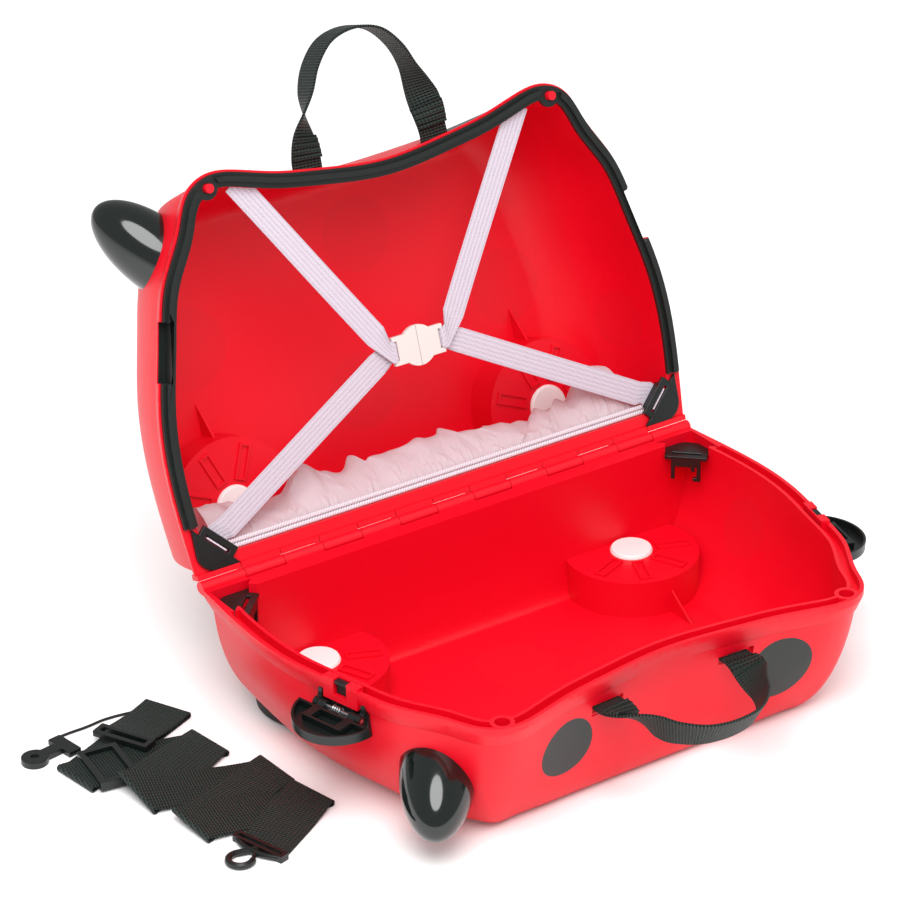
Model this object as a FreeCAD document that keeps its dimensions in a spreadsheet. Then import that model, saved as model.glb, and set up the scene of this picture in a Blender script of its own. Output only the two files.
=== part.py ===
import FreeCAD, Part
import math
import os
from types import SimpleNamespace
import Sketcher
from FreeCAD import Placement, Rotation, Vector

# Ride-on suitcase for a child: two moulded shells hinged along their lower edge, shown lying open.
# Case frame used by the functions: X along the hinge (front end at -X), Y away from the hinge
# towards the saddle, Z out of the rim plane. The base fills +Z, the lid is its mirror image in -Z.

SIZES = {
    # both shells
    "rim_half_length": 226.5, "rim_height": 288.0, "half_depth": 105.0, "wall": 3.0,
    "hinge_gap": 6.0, "end_fall": 54.0, "saddle_fall": 28.0, "hinge_fall": 12.0,
    "flange_proud": 4.0, "flange_depth": 5.0, "cove_depth": 15.0,
    "rim_lip": 3.0, "groove_width": 7.0, "inner_lip": 2.5, "groove_depth": 7.0,
    # hinge
    "knuckle_radius": 4.6, "knuckle_pitch": 33.5, "knuckle_slit": 0.6, "pin_radius": 2.0,
    "web_depth": 9.0, "run_clearance": 0.05, "seat_clearance": 0.3, "overrun": 4.0,
    # corner sockets and pegs
    "socket_x": 150.0, "socket_y": 278.5, "socket_radius": 5.6, "socket_wall": 3.0, "socket_depth": 12.0,
    "peg_radius": 3.4, "peg_height": 4.0,
    # seal of the lid
    "seal_cap": 3.0, "seal_edge": 1.6, "bead_width": 4.0, "bead_height": 3.0, "seal_margin": 1.0,
    "stem_clearance": 0.15, "latch_notch": 44.0, "latch_room": 10.0,
    # wheels, wells and axles
    "wheel_x": 143.0, "wheel_y": 32.0, "wheel_radius": 47.0, "wheel_gap": 2.5, "boss_depth": 72.0,
    "tread": 6.0, "tread_round": 3.0, "wheel_recess": 4.0, "hub_radius": 11.0, "wheel_web": 5.0,
    "web_start": 14.0, "axle_radius": 4.0, "axle_head_radius": 8.0, "axle_head": 3.0, "axial_gap": 0.4,
    "cap_radius": 16.5, "cap_height": 3.5, "cap_grip": 2.5, "cap_edge": 1.2,
    "rib_width": 9.5, "rib_wall": 1.8, "rib_margin": 5.0, "rib_height": 1.8, "rib_inner": 20.0,
    "gusset_length": 30.0, "gusset_height": 22.0,
    # horns
    "horn_x": 172.0, "horn_y": 232.0, "horn_depth": 54.0, "horn_radius": 27.0, "horn_length": 58.0,
    # latches
    "latch_y": 172.0, "latch_depth": 20.0, "latch_length": 66.0, "lever_reach": 33.0, "lever_height": 7.5,
    "lever_wall": 2.0, "mount_plate": 2.5, "mount_height": 15.0, "ear_thickness": 3.5, "ear_span": 40.0,
    "ear_height": 16.0, "ear_step": 4.3, "latch_pin_radius": 1.6, "pivot_out": 6.5, "pivot_boss": 3.6,
    "spring_radius": 3.4, "spring_wire": 1.2, "spring_pitch": 2.0, "arm_width": 7.0,
    "catch_length": 32.0, "catch_width": 6.8, "catch_top": 2.0, "catch_drop": 15.0, "catch_notch": 12.0,
    "notch_drop": 10.0, "keeper_depth": 3.0, "keeper_top": 2.5,
    # webbing carry handles
    "handle_span": 112.0, "handle_offset": 4.0, "handle_width": 25.0, "handle_thickness": 2.0,
    "handle_depth": 27.0, "lid_handle_rise": 100.0, "base_handle_rise": 74.0, "base_handle_droop": 4.0,
    "handle_bar_radius": 2.9, "slot_margin": 2.0, "slot_height": 6.4, "slot_mouth": 10.0,
    "slot_reach": 25.0,
    # corner pieces of the packing straps
    "corner_leg": 34.0, "corner_plate": 3.0, "corner_recess": 7.0, "corner_bar": 5.0, "corner_slot": 3.0,
    "corner_round": 14.0, "ledge": 4.0, "hook_strip": 6.0, "hook_drop": 12.0, "hook_prong": 3.0,
    # packing straps, buckle and pocket
    "strap_width": 19.0, "strap_thickness": 1.2, "strap_depth": 6.2, "strap_top_x": 132.0,
    "strap_low_x": 196.5, "strap_low_y": 28.8, "buckle_y": 123.0, "buckle_radius": 15.5,
    "buckle_thickness": 4.0, "buckle_gap": 0.3, "buckle_tab": 7.0, "buckle_tab_height": 22.0,
    "buckle_slot": 2.0, "pocket_half_length": 196.0, "pocket_front": 16.0, "pocket_back": 48.0,
    "pocket_height": 38.0, "pocket_gap": 0.6, "pocket_puff": 10.0, "elastic_radius": 3.0,
    "elastic_y": 22.0, "elastic_sag": 3.0,
    # tow strap
    "tow_width": 40.0, "tow_thickness": 1.6, "tow_lift": 3.6, "slider_length": 30.0, "slider_width": 48.0,
    "slider_bar": 4.5, "slider_height": 7.0, "centre_bar": 1.2, "ring_length": 13.0, "ring_width": 47.0,
    "ring_bar": 4.0, "ring_height": 4.4, "hook_frame": 8.0, "hook_width": 46.0, "hook_bar": 2.6,
    "hook_height": 5.2, "hook_neck": 8.0, "hook_length": 24.0, "hook_radius": 8.5, "hook_wire": 2.6,
    "gate_radius": 1.5, "gate_start": 5.2, "key_length": 31.0, "key_width": 20.0, "key_thickness": 5.0,
    "key_hole": 3.0, "tab_length": 26.0, "tab_width": 11.0, "tab_thickness": 4.2, "cord_radius": 1.0,
}

LID_OPEN = 107.5        # degrees from closed to the open stop
LATCH_OPEN = 4.0        # degrees that an open latch lever hangs below square
KNUCKLES = 11           # moulded knuckles between the two plain barrel ends
RIBS = 4                # raised loops on each wheel boss
SPRING_TURNS = 4
HORN_STEPS = 9          # straight steps in the profile of a grip
TUBE_SIDES = 8          # sides of the wire of springs, of the hook's bow and of the cord
GAP_STEPS = 32          # points in each turn of a spring where its own gap is measured

# Rim outline, right half, from the hinge corner to the middle of the saddle:
# shares of rim_half_length and of the height above the hinge wall.
RIM_SHARES = (
    (0.975, 0.0), (0.993, 0.156), (1.0, 0.28), (0.984, 0.44), (0.9315, 0.617), (0.878, 0.759),
    (0.79, 0.883), (0.733, 0.968), (0.662, 1.0), (0.53, 0.99), (0.397, 0.961), (0.265, 0.943),
    (0.0, 0.9206),
)
DIP_SHARE = RIM_SHARES[-1][1]
SECTION_ANGLES = (0, 20, 38, 54, 68, 80, 90)   # where the shell's wall is sectioned, in degrees
BLUNT_POWER = 3.0                             # sharper turn of the saddle and hinge walls
RIM_TAPER_SHARE = 0.5                         # share of the depth in which the rim's extra wall fades
HORN_AIM = Vector(-0.56, 0.75, 0.36)          # horns point forwards, up and outwards

# Carry handle from a slot to the crown: shares of half its span and of its rise, and quarter turns of twist.
HANDLE_SHARES = (
    (1.0, 0.0, 0.0), (0.99, 0.14, 0.0), (0.96, 0.3, 0.25), (0.89, 0.46, 0.65), (0.8, 0.62, 0.95),
    (0.65, 0.8, 1.0), (0.38, 0.95, 1.0), (0.0, 1.0, 1.0),
)
BASE_HANDLE_LEAN = 32.0                       # degrees that the base handle's crown leans in below
HOOK_SHARES = ((-1.0, 1.0), (-0.55, 0.3), (1.0, 0.9))   # place along the strip and drop of each prong
POCKET_SHARES = (-1.0, -0.84, -0.67, -0.5, -0.34, -0.17, 0.0, 0.17, 0.34, 0.5, 0.67, 0.84, 1.0)
STRAP_AIM_SHARES = (1.97, 0.76)               # of a strap's width, below and above the clip, at the middle
CORD_ARC_SHARE = 0.45                         # of the shorter run, where an arc of the cord starts
FRAME_ROUND_SHARE = 0.3                       # rounding of the tow strap's moulded frames, of their bars

# Tow strap on the floor: ends and folds as shares of rim_half_length (X) and rim_height (from the hinge).
TOW_FOLD_SHARES = (
    (-1.267, 0.007), (-1.075, -0.065), (-1.519, 0.09), (-1.073, 0.139), (-1.422, 0.264),
    (-0.985, 0.345), (-1.37, 0.452), (-0.965, 0.487), (-1.236, 0.613),
)
# Heights of the webbing's two edges at the start, middle and end of each run, as shares of tow_lift.
TOW_LEVEL_SHARES = (
    ((1.8, 1.8), (1.0, 1.0), (1.0, 1.0)), ((0, 0), (0, 0), (0, 0)), ((1.0, 1.0), (1.0, 1.0), (0, 0)),
    ((1.0, 1.0), (0, 2.4), (0, 3.7)), ((1.0, 4.7), (0, 1.1), (0, 0)), ((1.0, 1.0), (0, 1.4), (0, 1.7)),
    ((1.0, 2.7), (0, 1.2), (0, 0)), ((1.0, 1.0), (0, 1.0), (0, 0)),
)
FOLD_SHARES = (-0.5, 0.0, 0.5)                # quarter turns at which a fold of the webbing is sectioned
SLIDER_RUN_SHARE = 0.24                       # where the slider sits along its run
KEY_PLACE_SHARES = (-1.48, -0.06)
KEY_AIM = Vector(-0.97, -0.15, 0)
HOOK_AIM = Vector(-0.963, -0.27, 0)

# Key cord on the floor, from the key's tab to the edge of the tow strap.
KEY_CORD = (
    Vector(-334.5, 176.2, 1.1), Vector(-320.0, 177.8, 1.1), Vector(-303.0, 177.2, 1.1),
    Vector(-284.0, 180.0, 1.1), Vector(-266.0, 176.05, 1.1),
)

doc = FreeCAD.newDocument("RideOnSuitcase")
sheet = doc.addObject("Spreadsheet::Sheet", "Sizes")
for row, (alias, value) in enumerate(SIZES.items(), start=1):
    sheet.set("A%d" % row, alias.replace("_", " "))
    sheet.set("B%d" % row, str(value))
    sheet.setAlias("B%d" % row, alias)
doc.recompute()
S = SimpleNamespace(**{alias: float(sheet.get(alias)) for alias in SIZES})

# Sizes worked out from the sheet.
S.rim_width = S.rim_lip + S.groove_width + S.inner_lip
S.seal_seat = S.seal_cap + S.seat_clearance
S.well_radius = S.wheel_radius + S.wheel_gap
S.wheel_inner = S.boss_depth + S.wall + S.axial_gap
S.seal_start = S.hinge_gap + S.rim_lip + S.corner_leg + S.seal_margin
S.spring_leg = S.pivot_out - S.mount_plate - S.seat_clearance
S.tow_top = S.tow_lift + S.tow_thickness + S.seat_clearance
S.lower_strap_depth = S.strap_depth + S.strap_thickness + S.seat_clearance
S.hinge_line = S.rim_height / 2
S.barrel_half = KNUCKLES * S.knuckle_pitch / 2
S.barrel_end = RIM_SHARES[0][0] * S.rim_half_length

ORIGIN = Vector(0, 0, 0)
AXIS_X = Vector(1, 0, 0)
AXIS_Y = Vector(0, 1, 0)
AXIS_Z = Vector(0, 0, 1)
HINGE = Vector(0, S.hinge_line, S.half_depth)
BASE = Placement(HINGE, Rotation(AXIS_X, 180))
LID = Placement(HINGE, Rotation(AXIS_X, 180 - LID_OPEN))

nodes = []


def keep(item, label, place):
    """Name a finished sub-part, place it and list it for writing."""
    item.Label = label
    item.Placement = place
    nodes.append(item)
    return item


def solid_node(label, shape, place):
    """A sub-part whose solid is worked out by Part's own functions."""
    item = doc.addObject("Part::Feature", label)
    solids = shape.Solids
    item.Shape = solids[0] if len(solids) == 1 else Part.makeCompound(solids)
    return keep(item, label, place)


def mirrored(shape):
    """The lid's copy of a base shape."""
    return shape.mirror(ORIGIN, AXIS_Z)


def both_halves(label, shape):
    """One sub-part in the base and its mirror image in the lid."""
    solid_node("base_" + label, shape, BASE)
    solid_node("lid_" + label, mirrored(shape), LID)


def block(low, high):
    """A box between two corners."""
    size = high - low
    return Part.makeBox(size.x, size.y, size.z, low)


def rod(start, end, radius):
    """A round bar between two points."""
    return Part.makeCylinder(radius, (end - start).Length, start, end - start)


def facet_ring(centre, aim, radius):
    """A many-sided section of a wire or cord, square to its run."""
    turn = Rotation(AXIS_Z, aim)
    corners = []
    for index in range(TUBE_SIDES):
        angle = 2 * math.pi * (index + 1 / 2) / TUBE_SIDES
        corners.append(centre + turn.multVec(Vector(math.cos(angle), math.sin(angle), 0) * radius))
    return Part.makePolygon(corners + corners[:1])


def prism(points, low, height):
    """A straight-sided plate on a closed outline of (x, y) points."""
    corners = [Vector(x, y, low) for x, y in points]
    return Part.Face(Part.makePolygon(corners + corners[:1])).extrude(Vector(0, 0, height))


# Shell outline and walls

def fall_at(share, power):
    """How far a rounded wall has come in, as a share of its whole fall."""
    return 1 - (1 - share ** power) ** (1 / power)


def rim_outline(inset, depth_share=0.0):
    """Points of the shell's outline, moved in by an inset, at a share of the depth."""
    low = S.hinge_gap + S.hinge_fall * fall_at(depth_share, BLUNT_POWER)
    top = S.rim_height - S.saddle_fall * fall_at(depth_share, BLUNT_POWER)
    half = S.rim_half_length - S.end_fall * fall_at(depth_share, 2)
    right = []
    for x_share, y_share in RIM_SHARES:
        level = y_share + max(0, y_share - DIP_SHARE) * -depth_share
        right.append(Vector(half * x_share, low + (top - low) * level, 0))
    points = right + [Vector(-p.x, p.y, 0) for p in reversed(right[:-1])]
    inner = []
    for index, point in enumerate(points):
        before = points[max(index - 1, 0)]
        after = points[min(index + 1, len(points) - 1)]
        along = (after - before).normalize()
        inner.append(point + Vector(-along.y, along.x, 0) * inset)
    for end, side in ((0, -1), (-1, 1)):
        inner[end] = points[end] + Vector(side * inset, inset, 0)
    return inner


def outline_wire(inset, height, depth_share=0.0):
    """The outline as a closed wire: one curve round three sides and the straight hinge side."""
    points = [p + Vector(0, 0, height) for p in rim_outline(inset, depth_share)]
    curve = Part.BSplineCurve()
    curve.interpolate(points)
    return Part.Wire([curve.toShape(), Part.makeLine(points[-1], points[0])])


def rim_slab(inset, low, high):
    """A slab of the rim's outline between two heights."""
    return Part.Face(outline_wire(inset, low)).extrude(Vector(0, 0, high - low))


def bowl(depth, inset_at):
    """A closed loft from the rim to the side panel."""
    wires = []
    for angle in SECTION_ANGLES:
        share = math.sin(math.radians(angle))
        wires.append(outline_wire(inset_at(share), depth * share, share))
    return Part.makeLoft(wires, True, False)


def cavity_inset(share):
    """The wall is thicker at the rim, where it holds the groove."""
    thin = S.flange_proud + S.wall
    fade = max(0, 1 - share / RIM_TAPER_SHARE)
    return thin + (S.rim_width - thin) * fade


def outer_form():
    """The shell's outside as one solid: bowl, flange and the cove under the flange."""
    body = bowl(S.half_depth, lambda share: S.flange_proud)
    flange = rim_slab(0, 0, S.flange_depth)
    cove = Part.makeLoft([outline_wire(0, S.flange_depth),
                          outline_wire(S.flange_proud, S.cove_depth)], True, True)
    beyond = block(Vector(-S.rim_half_length, -S.overrun, S.half_depth),
                   Vector(S.rim_half_length, S.rim_height, S.half_depth + S.overrun))
    return body.fuse([flange, cove]).cut(beyond).removeSplitter()


def wheel_centres():
    return [Vector(side * S.wheel_x, S.wheel_y, 0) for side in (-1, 1)]


def at_depth(point, depth):
    return Vector(point.x, point.y, depth)


def wheel_boss(centre, outer):
    """The D-shaped well that stands inside the shell, with raised loops and a gusset."""
    radius = S.well_radius + S.wall
    drum = rod(at_depth(centre, S.boss_depth), at_depth(centre, S.half_depth), radius)
    added = [drum]
    for index in range(RIBS):
        angle = math.degrees(math.pi) * (index + 1 / 2) / RIBS
        side = S.rib_width / 2
        reach = radius - S.rib_margin
        rib = block(Vector(S.rib_inner, -side, S.boss_depth - S.rib_height),
                    Vector(reach, side, S.boss_depth + S.wall))
        side -= S.rib_wall
        rib = rib.cut(block(Vector(S.rib_inner + S.rib_wall, -side, S.boss_depth - S.rib_height * 2),
                            Vector(reach - S.rib_wall, side, S.boss_depth)))
        rib.rotate(ORIGIN, AXIS_Z, angle)
        rib.translate(centre)
        added.append(rib)
    start = centre.y + radius - S.wall
    floor = S.half_depth - S.wall / 2
    corners = [Vector(centre.x - S.wall / 4, start, floor - S.gusset_height),
               Vector(centre.x - S.wall / 4, start, floor),
               Vector(centre.x - S.wall / 4, start + S.gusset_length, floor)]
    gusset = Part.Face(Part.makePolygon(corners + corners[:1])).extrude(Vector(S.wall / 2, 0, 0))
    added.append(gusset)
    return added[0].fuse(added[1:]).common(outer)


def wheel_well(centre):
    """What the wheel and its axle take out of a shell."""
    hollow = rod(at_depth(centre, S.boss_depth + S.wall), at_depth(centre, S.half_depth + S.overrun),
                 S.well_radius)
    bore = rod(at_depth(centre, S.boss_depth - S.overrun), at_depth(centre, S.half_depth),
               S.axle_radius + S.run_clearance)
    return hollow.fuse(bore)


def socket_centres():
    return [Vector(side * S.socket_x, S.socket_y, 0) for side in (-1, 1)]


def handle_centres():
    return [Vector(S.handle_offset + side * S.handle_span / 2, 0, S.handle_depth) for side in (-1, 1)]


def outside_y(outer, x, depth):
    """Where the saddle wall's outside lies at a place along the case."""
    ray = Part.makeLine(Vector(x, S.hinge_line, depth), Vector(x, S.rim_height * 2, depth))
    return ray.common(outer).BoundBox.YMax


def handle_slots(outer):
    """Slots for the handles' bars, with wider mouths in which the webbing swings."""
    slots = []
    reach = S.handle_width / 2 + S.slot_margin
    mouth = handle_axis(outer) + S.handle_bar_radius
    for centre in handle_centres():
        face = outside_y(outer, centre.x, centre.z)
        for start, height in ((face - S.slot_reach, S.slot_height), (mouth, S.slot_mouth)):
            slots.append(block(Vector(centre.x - reach, start, centre.z - height / 2),
                               Vector(centre.x + reach, face + S.overrun, centre.z + height / 2)))
    return slots


def corner_point(side, out, along):
    """A point of a hinge corner: distance from the corner's tip on its diagonal, and along the strap bar."""
    diagonal = math.sqrt(2)
    tip = S.barrel_end - S.rim_lip
    return side * (tip - (out + along) / diagonal), S.hinge_gap + S.rim_lip + (out - along) / diagonal


def corner_triangle(side, clearance, low, height):
    """The three-cornered plate form of a hinge corner."""
    reach = S.corner_leg / math.sqrt(2) + clearance
    start = -clearance * math.sqrt(2)
    points = [corner_point(side, start, 0), corner_point(side, reach, reach - start),
              corner_point(side, reach, start - reach)]
    return prism(points, low, height)


def corner_bars(side, out, width, half, low, height):
    """A bar square to the corner's diagonal."""
    points = [corner_point(side, out, -half), corner_point(side, out, half),
              corner_point(side, out + width, half), corner_point(side, out + width, -half)]
    return prism(points, low, height)


def corner_plate(side, clearance, low, height):
    """The whole plan of a corner piece: the triangle and the strap bar on its open side."""
    reach = S.corner_leg / math.sqrt(2) - S.corner_slot - clearance
    half = S.strap_width / 2 + S.slot_margin + S.corner_bar + clearance
    width = S.corner_slot * 2 + S.corner_bar + clearance * 2
    bar = corner_bars(side, reach, width, half, low, height)
    return corner_triangle(side, clearance, low, height).fuse(bar).removeSplitter()


def corner_ledges(outer, height):
    """Ledges in the hinge corners that carry the corner pieces."""
    return [corner_triangle(side, S.seat_clearance, height, S.ledge).common(outer) for side in (-1, 1)]


# Hinge

def knuckle(start, end, depth_low, depth_high):
    """One barrel piece and the web that carries it on the hinge wall."""
    barrel = rod(Vector(start, 0, 0), Vector(end, 0, 0), S.knuckle_radius)
    web = block(Vector(start, 0, depth_low), Vector(end, S.hinge_gap + S.wall, depth_high))
    return barrel.fuse(web)


def knuckle_spans(first):
    """Ends of every second knuckle along the barrel."""
    spans = []
    for index in range(first, KNUCKLES, 2):
        start = -S.barrel_half + index * S.knuckle_pitch
        spans.append((start + S.knuckle_slit / 2, start + S.knuckle_pitch - S.knuckle_slit / 2))
    return spans


def base_spans():
    """Ends of the base's knuckles, with the plain barrel at each end."""
    return knuckle_spans(1) + [(-S.barrel_end, -S.barrel_half - S.knuckle_slit / 2),
                               (S.barrel_half + S.knuckle_slit / 2, S.barrel_end)]


def pin_bore():
    return rod(Vector(-S.barrel_half - S.overrun, 0, 0), Vector(S.barrel_half + S.overrun, 0, 0),
               S.pin_radius + S.run_clearance)


# Latches: frame at the pivot, X along the wall, Y outwards, Z up out of the rim

def latch_frames(outer):
    """Place of each latch on the end walls, with the wall's own slope."""
    frames = []
    for side in (-1, 1):
        found = []
        for y in (S.latch_y - S.latch_length / 4, S.latch_y + S.latch_length / 4):
            middle = Vector(0, y, S.latch_depth)
            ray = Part.makeLine(middle, middle + Vector(side * S.rim_height * 2, 0, 0))
            box = ray.common(outer).BoundBox
            found.append(Vector(box.XMax if side > 0 else box.XMin, y, S.latch_depth))
        along = (found[1] - found[0]).normalize() * side
        middle = (found[0] + found[1]) / 2
        up = Vector(0, 0, -1)
        outwards = up.cross(along)
        frames.append(Placement(middle + outwards * S.pivot_out, Rotation(along, outwards, up, "XYZ")))
    return frames


def catch_block():
    """Catch that stands on the end wall beside the latch."""
    inner = -S.pivot_out - S.flange_proud / 2
    return block(Vector(-S.catch_length / 2, inner, S.latch_depth - S.catch_drop),
                 Vector(S.catch_length / 2, inner + S.catch_width, S.latch_depth + S.catch_top))


def catch_notch(clearance=0):
    """The notch that makes the catch a U, open to the outside and the top."""
    inner = -S.pivot_out - S.flange_proud / 4
    return block(Vector(-S.catch_notch / 2 + clearance, inner + clearance, S.latch_depth - S.notch_drop),
                 Vector(S.catch_notch / 2 - clearance, inner + S.catch_width + S.overrun,
                        S.latch_depth + S.catch_top + S.overrun))


def latch_keeper():
    """Black insert in the catch's notch: a back plate and a ledge that the lever's rib grips."""
    inner = -S.pivot_out - S.flange_proud / 4
    high = S.latch_depth + S.catch_top / 2
    back = block(Vector(-S.catch_notch, inner, S.latch_depth - S.notch_drop),
                 Vector(S.catch_notch, inner + S.keeper_depth, high))
    ledge = block(Vector(-S.catch_notch, inner, high - S.keeper_top),
                  Vector(S.catch_notch, inner + S.catch_width - S.keeper_depth / 2, high))
    return back.fuse(ledge).common(catch_notch(S.seat_clearance)).removeSplitter()


def catch_pocket():
    """Room for the catch in the lid's rim and seal."""
    reach = S.latch_notch / 2
    inner = -S.pivot_out - S.flange_proud / 2
    return block(Vector(-reach, inner - S.wall / 2, S.latch_depth - S.overrun),
                 Vector(reach, inner + S.catch_width + S.overrun * 2, S.latch_depth + S.latch_room))


def moved(shape, place):
    result = shape.copy()
    result.Placement = place.multiply(result.Placement)
    return result


# The two shells

def base_shell(outer, frames):
    cavity = bowl(S.half_depth - S.wall, cavity_inset)
    mouth = rim_slab(S.rim_width, -S.overrun, 0)
    groove = rim_slab(S.rim_lip, -S.overrun, S.groove_depth)
    groove = groove.cut(rim_slab(S.rim_lip + S.groove_width, -S.overrun, S.groove_depth))
    groove = groove.cut(block(Vector(-S.rim_half_length, 0, -S.overrun),
                              Vector(S.rim_half_length, S.seal_start - S.seal_margin, S.groove_depth)))
    shell = outer.cut([cavity, mouth])
    sockets = [rod(c, at_depth(c, S.socket_depth + S.wall), S.socket_radius + S.socket_wall).common(outer)
               for c in socket_centres()]
    cups = [rod(at_depth(c, -S.overrun), at_depth(c, S.socket_depth), S.socket_radius)
            for c in socket_centres()]
    bosses = [wheel_boss(c, outer) for c in wheel_centres()]
    catches = [moved(catch_block(), frame) for frame in frames]
    notches = [moved(catch_notch(), frame) for frame in frames]
    knuckles = [knuckle(a, b, 0, S.knuckle_radius) for a, b in base_spans()]
    seat = S.corner_recess + S.corner_plate
    pockets = [corner_plate(side, S.seat_clearance, -S.overrun, seat + S.overrun) for side in (-1, 1)]
    shell = shell.cut(groove).fuse(bosses + sockets + catches + knuckles + corner_ledges(outer, seat))
    wells = [wheel_well(c) for c in wheel_centres()]
    return shell.cut(wells + cups + notches + pockets + handle_slots(outer) + [pin_bore()])


def lid_shell(outer, frames):
    """Built beside the base and mirrored by the caller."""
    cavity = bowl(S.half_depth - S.wall, cavity_inset)
    mouth = rim_slab(-S.overrun, -S.overrun, S.seal_seat)
    groove = rim_slab(S.rim_lip, 0, S.seal_seat + S.groove_depth)
    groove = groove.cut(rim_slab(S.rim_lip + S.groove_width, 0, S.seal_seat + S.groove_depth))
    groove = groove.cut(block(Vector(-S.rim_half_length, 0, 0),
                              Vector(S.rim_half_length, S.seal_start, S.seal_seat + S.groove_depth)))
    bosses = [wheel_boss(c, outer) for c in wheel_centres()]
    shell = outer.cut([cavity, mouth, groove])
    pegs = []
    for c in socket_centres():
        collar = rod(at_depth(c, S.seal_seat), at_depth(c, S.socket_depth + S.wall),
                     S.socket_radius + S.socket_wall)
        pegs.append(collar.common(outer))
        pegs.append(rod(at_depth(c, -S.peg_height), at_depth(c, S.socket_depth), S.peg_radius))
    knuckles = [knuckle(a, b, S.seat_clearance, S.web_depth) for a, b in knuckle_spans(0)]
    for a, b in base_spans():
        knuckles.append(block(Vector(a, S.knuckle_radius + S.seat_clearance, S.seat_clearance),
                              Vector(b, S.hinge_gap + S.wall, S.web_depth)))
    shell = shell.fuse(bosses + pegs + knuckles + corner_ledges(outer, S.seal_seat))
    pockets = [mirrored(moved(catch_pocket(), frame)) for frame in frames]
    wells = [wheel_well(c) for c in wheel_centres()]
    return shell.cut(wells + pockets + handle_slots(outer) + [pin_bore()])


def lid_seal(frames):
    """Rubber seal round three sides of the lid: stem in the groove, cap on the rim, bead for the base."""
    cap = rim_slab(S.seal_edge, S.seat_clearance, S.seal_seat)
    cap = cap.cut(rim_slab(S.rim_width, 0, S.seal_seat))
    side = (S.groove_width - S.bead_width) / 2
    bead = rim_slab(S.rim_lip + side, -S.bead_height, S.seal_seat)
    bead = bead.cut(rim_slab(S.rim_lip + side + S.bead_width, -S.bead_height, S.seal_seat))
    stem_out = S.rim_lip + S.stem_clearance
    stem_in = S.rim_lip + S.groove_width - S.stem_clearance
    foot = S.seal_seat + S.groove_depth - S.stem_clearance
    stem = rim_slab(stem_out, S.seal_seat, foot).cut(rim_slab(stem_in, S.seal_seat, foot))
    seal = cap.fuse([bead, stem])
    collar = S.socket_radius + S.socket_wall
    eyelets = [rod(at_depth(c, S.seat_clearance), at_depth(c, S.seal_seat), collar)
               for c in socket_centres()]
    holes = [rod(at_depth(c, -S.bead_height), at_depth(c, S.socket_depth + S.wall), collar + S.seat_clearance)
             for c in socket_centres()]
    eyelets = [eyelet.common(rim_slab(S.seal_edge, S.seat_clearance, S.seal_seat)) for eyelet in eyelets]
    cap_holes = [hole.cut(block(Vector(-S.rim_half_length, 0, S.seat_clearance),
                                Vector(S.rim_half_length, S.rim_height, S.seal_seat))) for hole in holes]
    centres = [rod(at_depth(c, -S.overrun), at_depth(c, S.socket_depth), S.peg_radius + S.seat_clearance)
               for c in socket_centres()]
    below = block(Vector(-S.rim_half_length, -S.overrun, -S.bead_height),
                  Vector(S.rim_half_length, S.seal_start, foot))
    pockets = [mirrored(moved(catch_pocket(), frame)) for frame in frames]
    return seal.cut(cap_holes).fuse(eyelets).cut(centres + [below] + pockets)


# Turned pieces, drawn as sketches and revolved about their own Z axis

def amount(names):
    """Sum of signed size names, such as "wheel_radius -tread"."""
    return sum(-getattr(S, n[1:]) if n[0] == "-" else getattr(S, n) for n in names.split())


def formula(names):
    """The same sum as an expression on the sheet's cells."""
    return " ".join("- Sizes." + n[1:] if n[0] == "-" else "+ Sizes." + n for n in names.split())


def turned_body(label, profile, place):
    """A revolved body; the profile lists (radius, height) as sums of size names."""
    body = doc.addObject("PartDesign::Body", label)
    sketch = body.newObject("Sketcher::SketchObject", label + "_profile")
    plane = [item for item in body.Origin.OriginFeatures if item.Role == "XZ_Plane"][0]
    sketch.AttachmentSupport = [(plane, "")]
    sketch.MapMode = "FlatFace"
    points = [Vector(amount(radius), amount(height), 0) for radius, height in profile]
    for index, point in enumerate(points):
        sketch.addGeometry(Part.LineSegment(points[index - 1], point), False)
    for index in range(len(points)):
        sketch.addConstraint(Sketcher.Constraint("Coincident", index - 1 if index else len(points) - 1, 2,
                                                 index, 1))
    for index, names in enumerate(profile):
        for kind, axis, name in (("DistanceX", -2, names[0]), ("DistanceY", -1, names[1])):
            if not name:
                sketch.addConstraint(Sketcher.Constraint("PointOnObject", index, 2, axis))
                continue
            number = sketch.addConstraint(Sketcher.Constraint(kind, -1, 1, index, 2, amount(name)))
            sketch.setExpression("Constraints[%d]" % number, formula(name))
    turn = body.newObject("PartDesign::Revolution", label + "_turn")
    turn.Profile = sketch
    turn.ReferenceAxis = (sketch, ["V_Axis"])
    turn.Angle = 360
    body.Tip = turn
    return keep(body, label, place)


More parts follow.
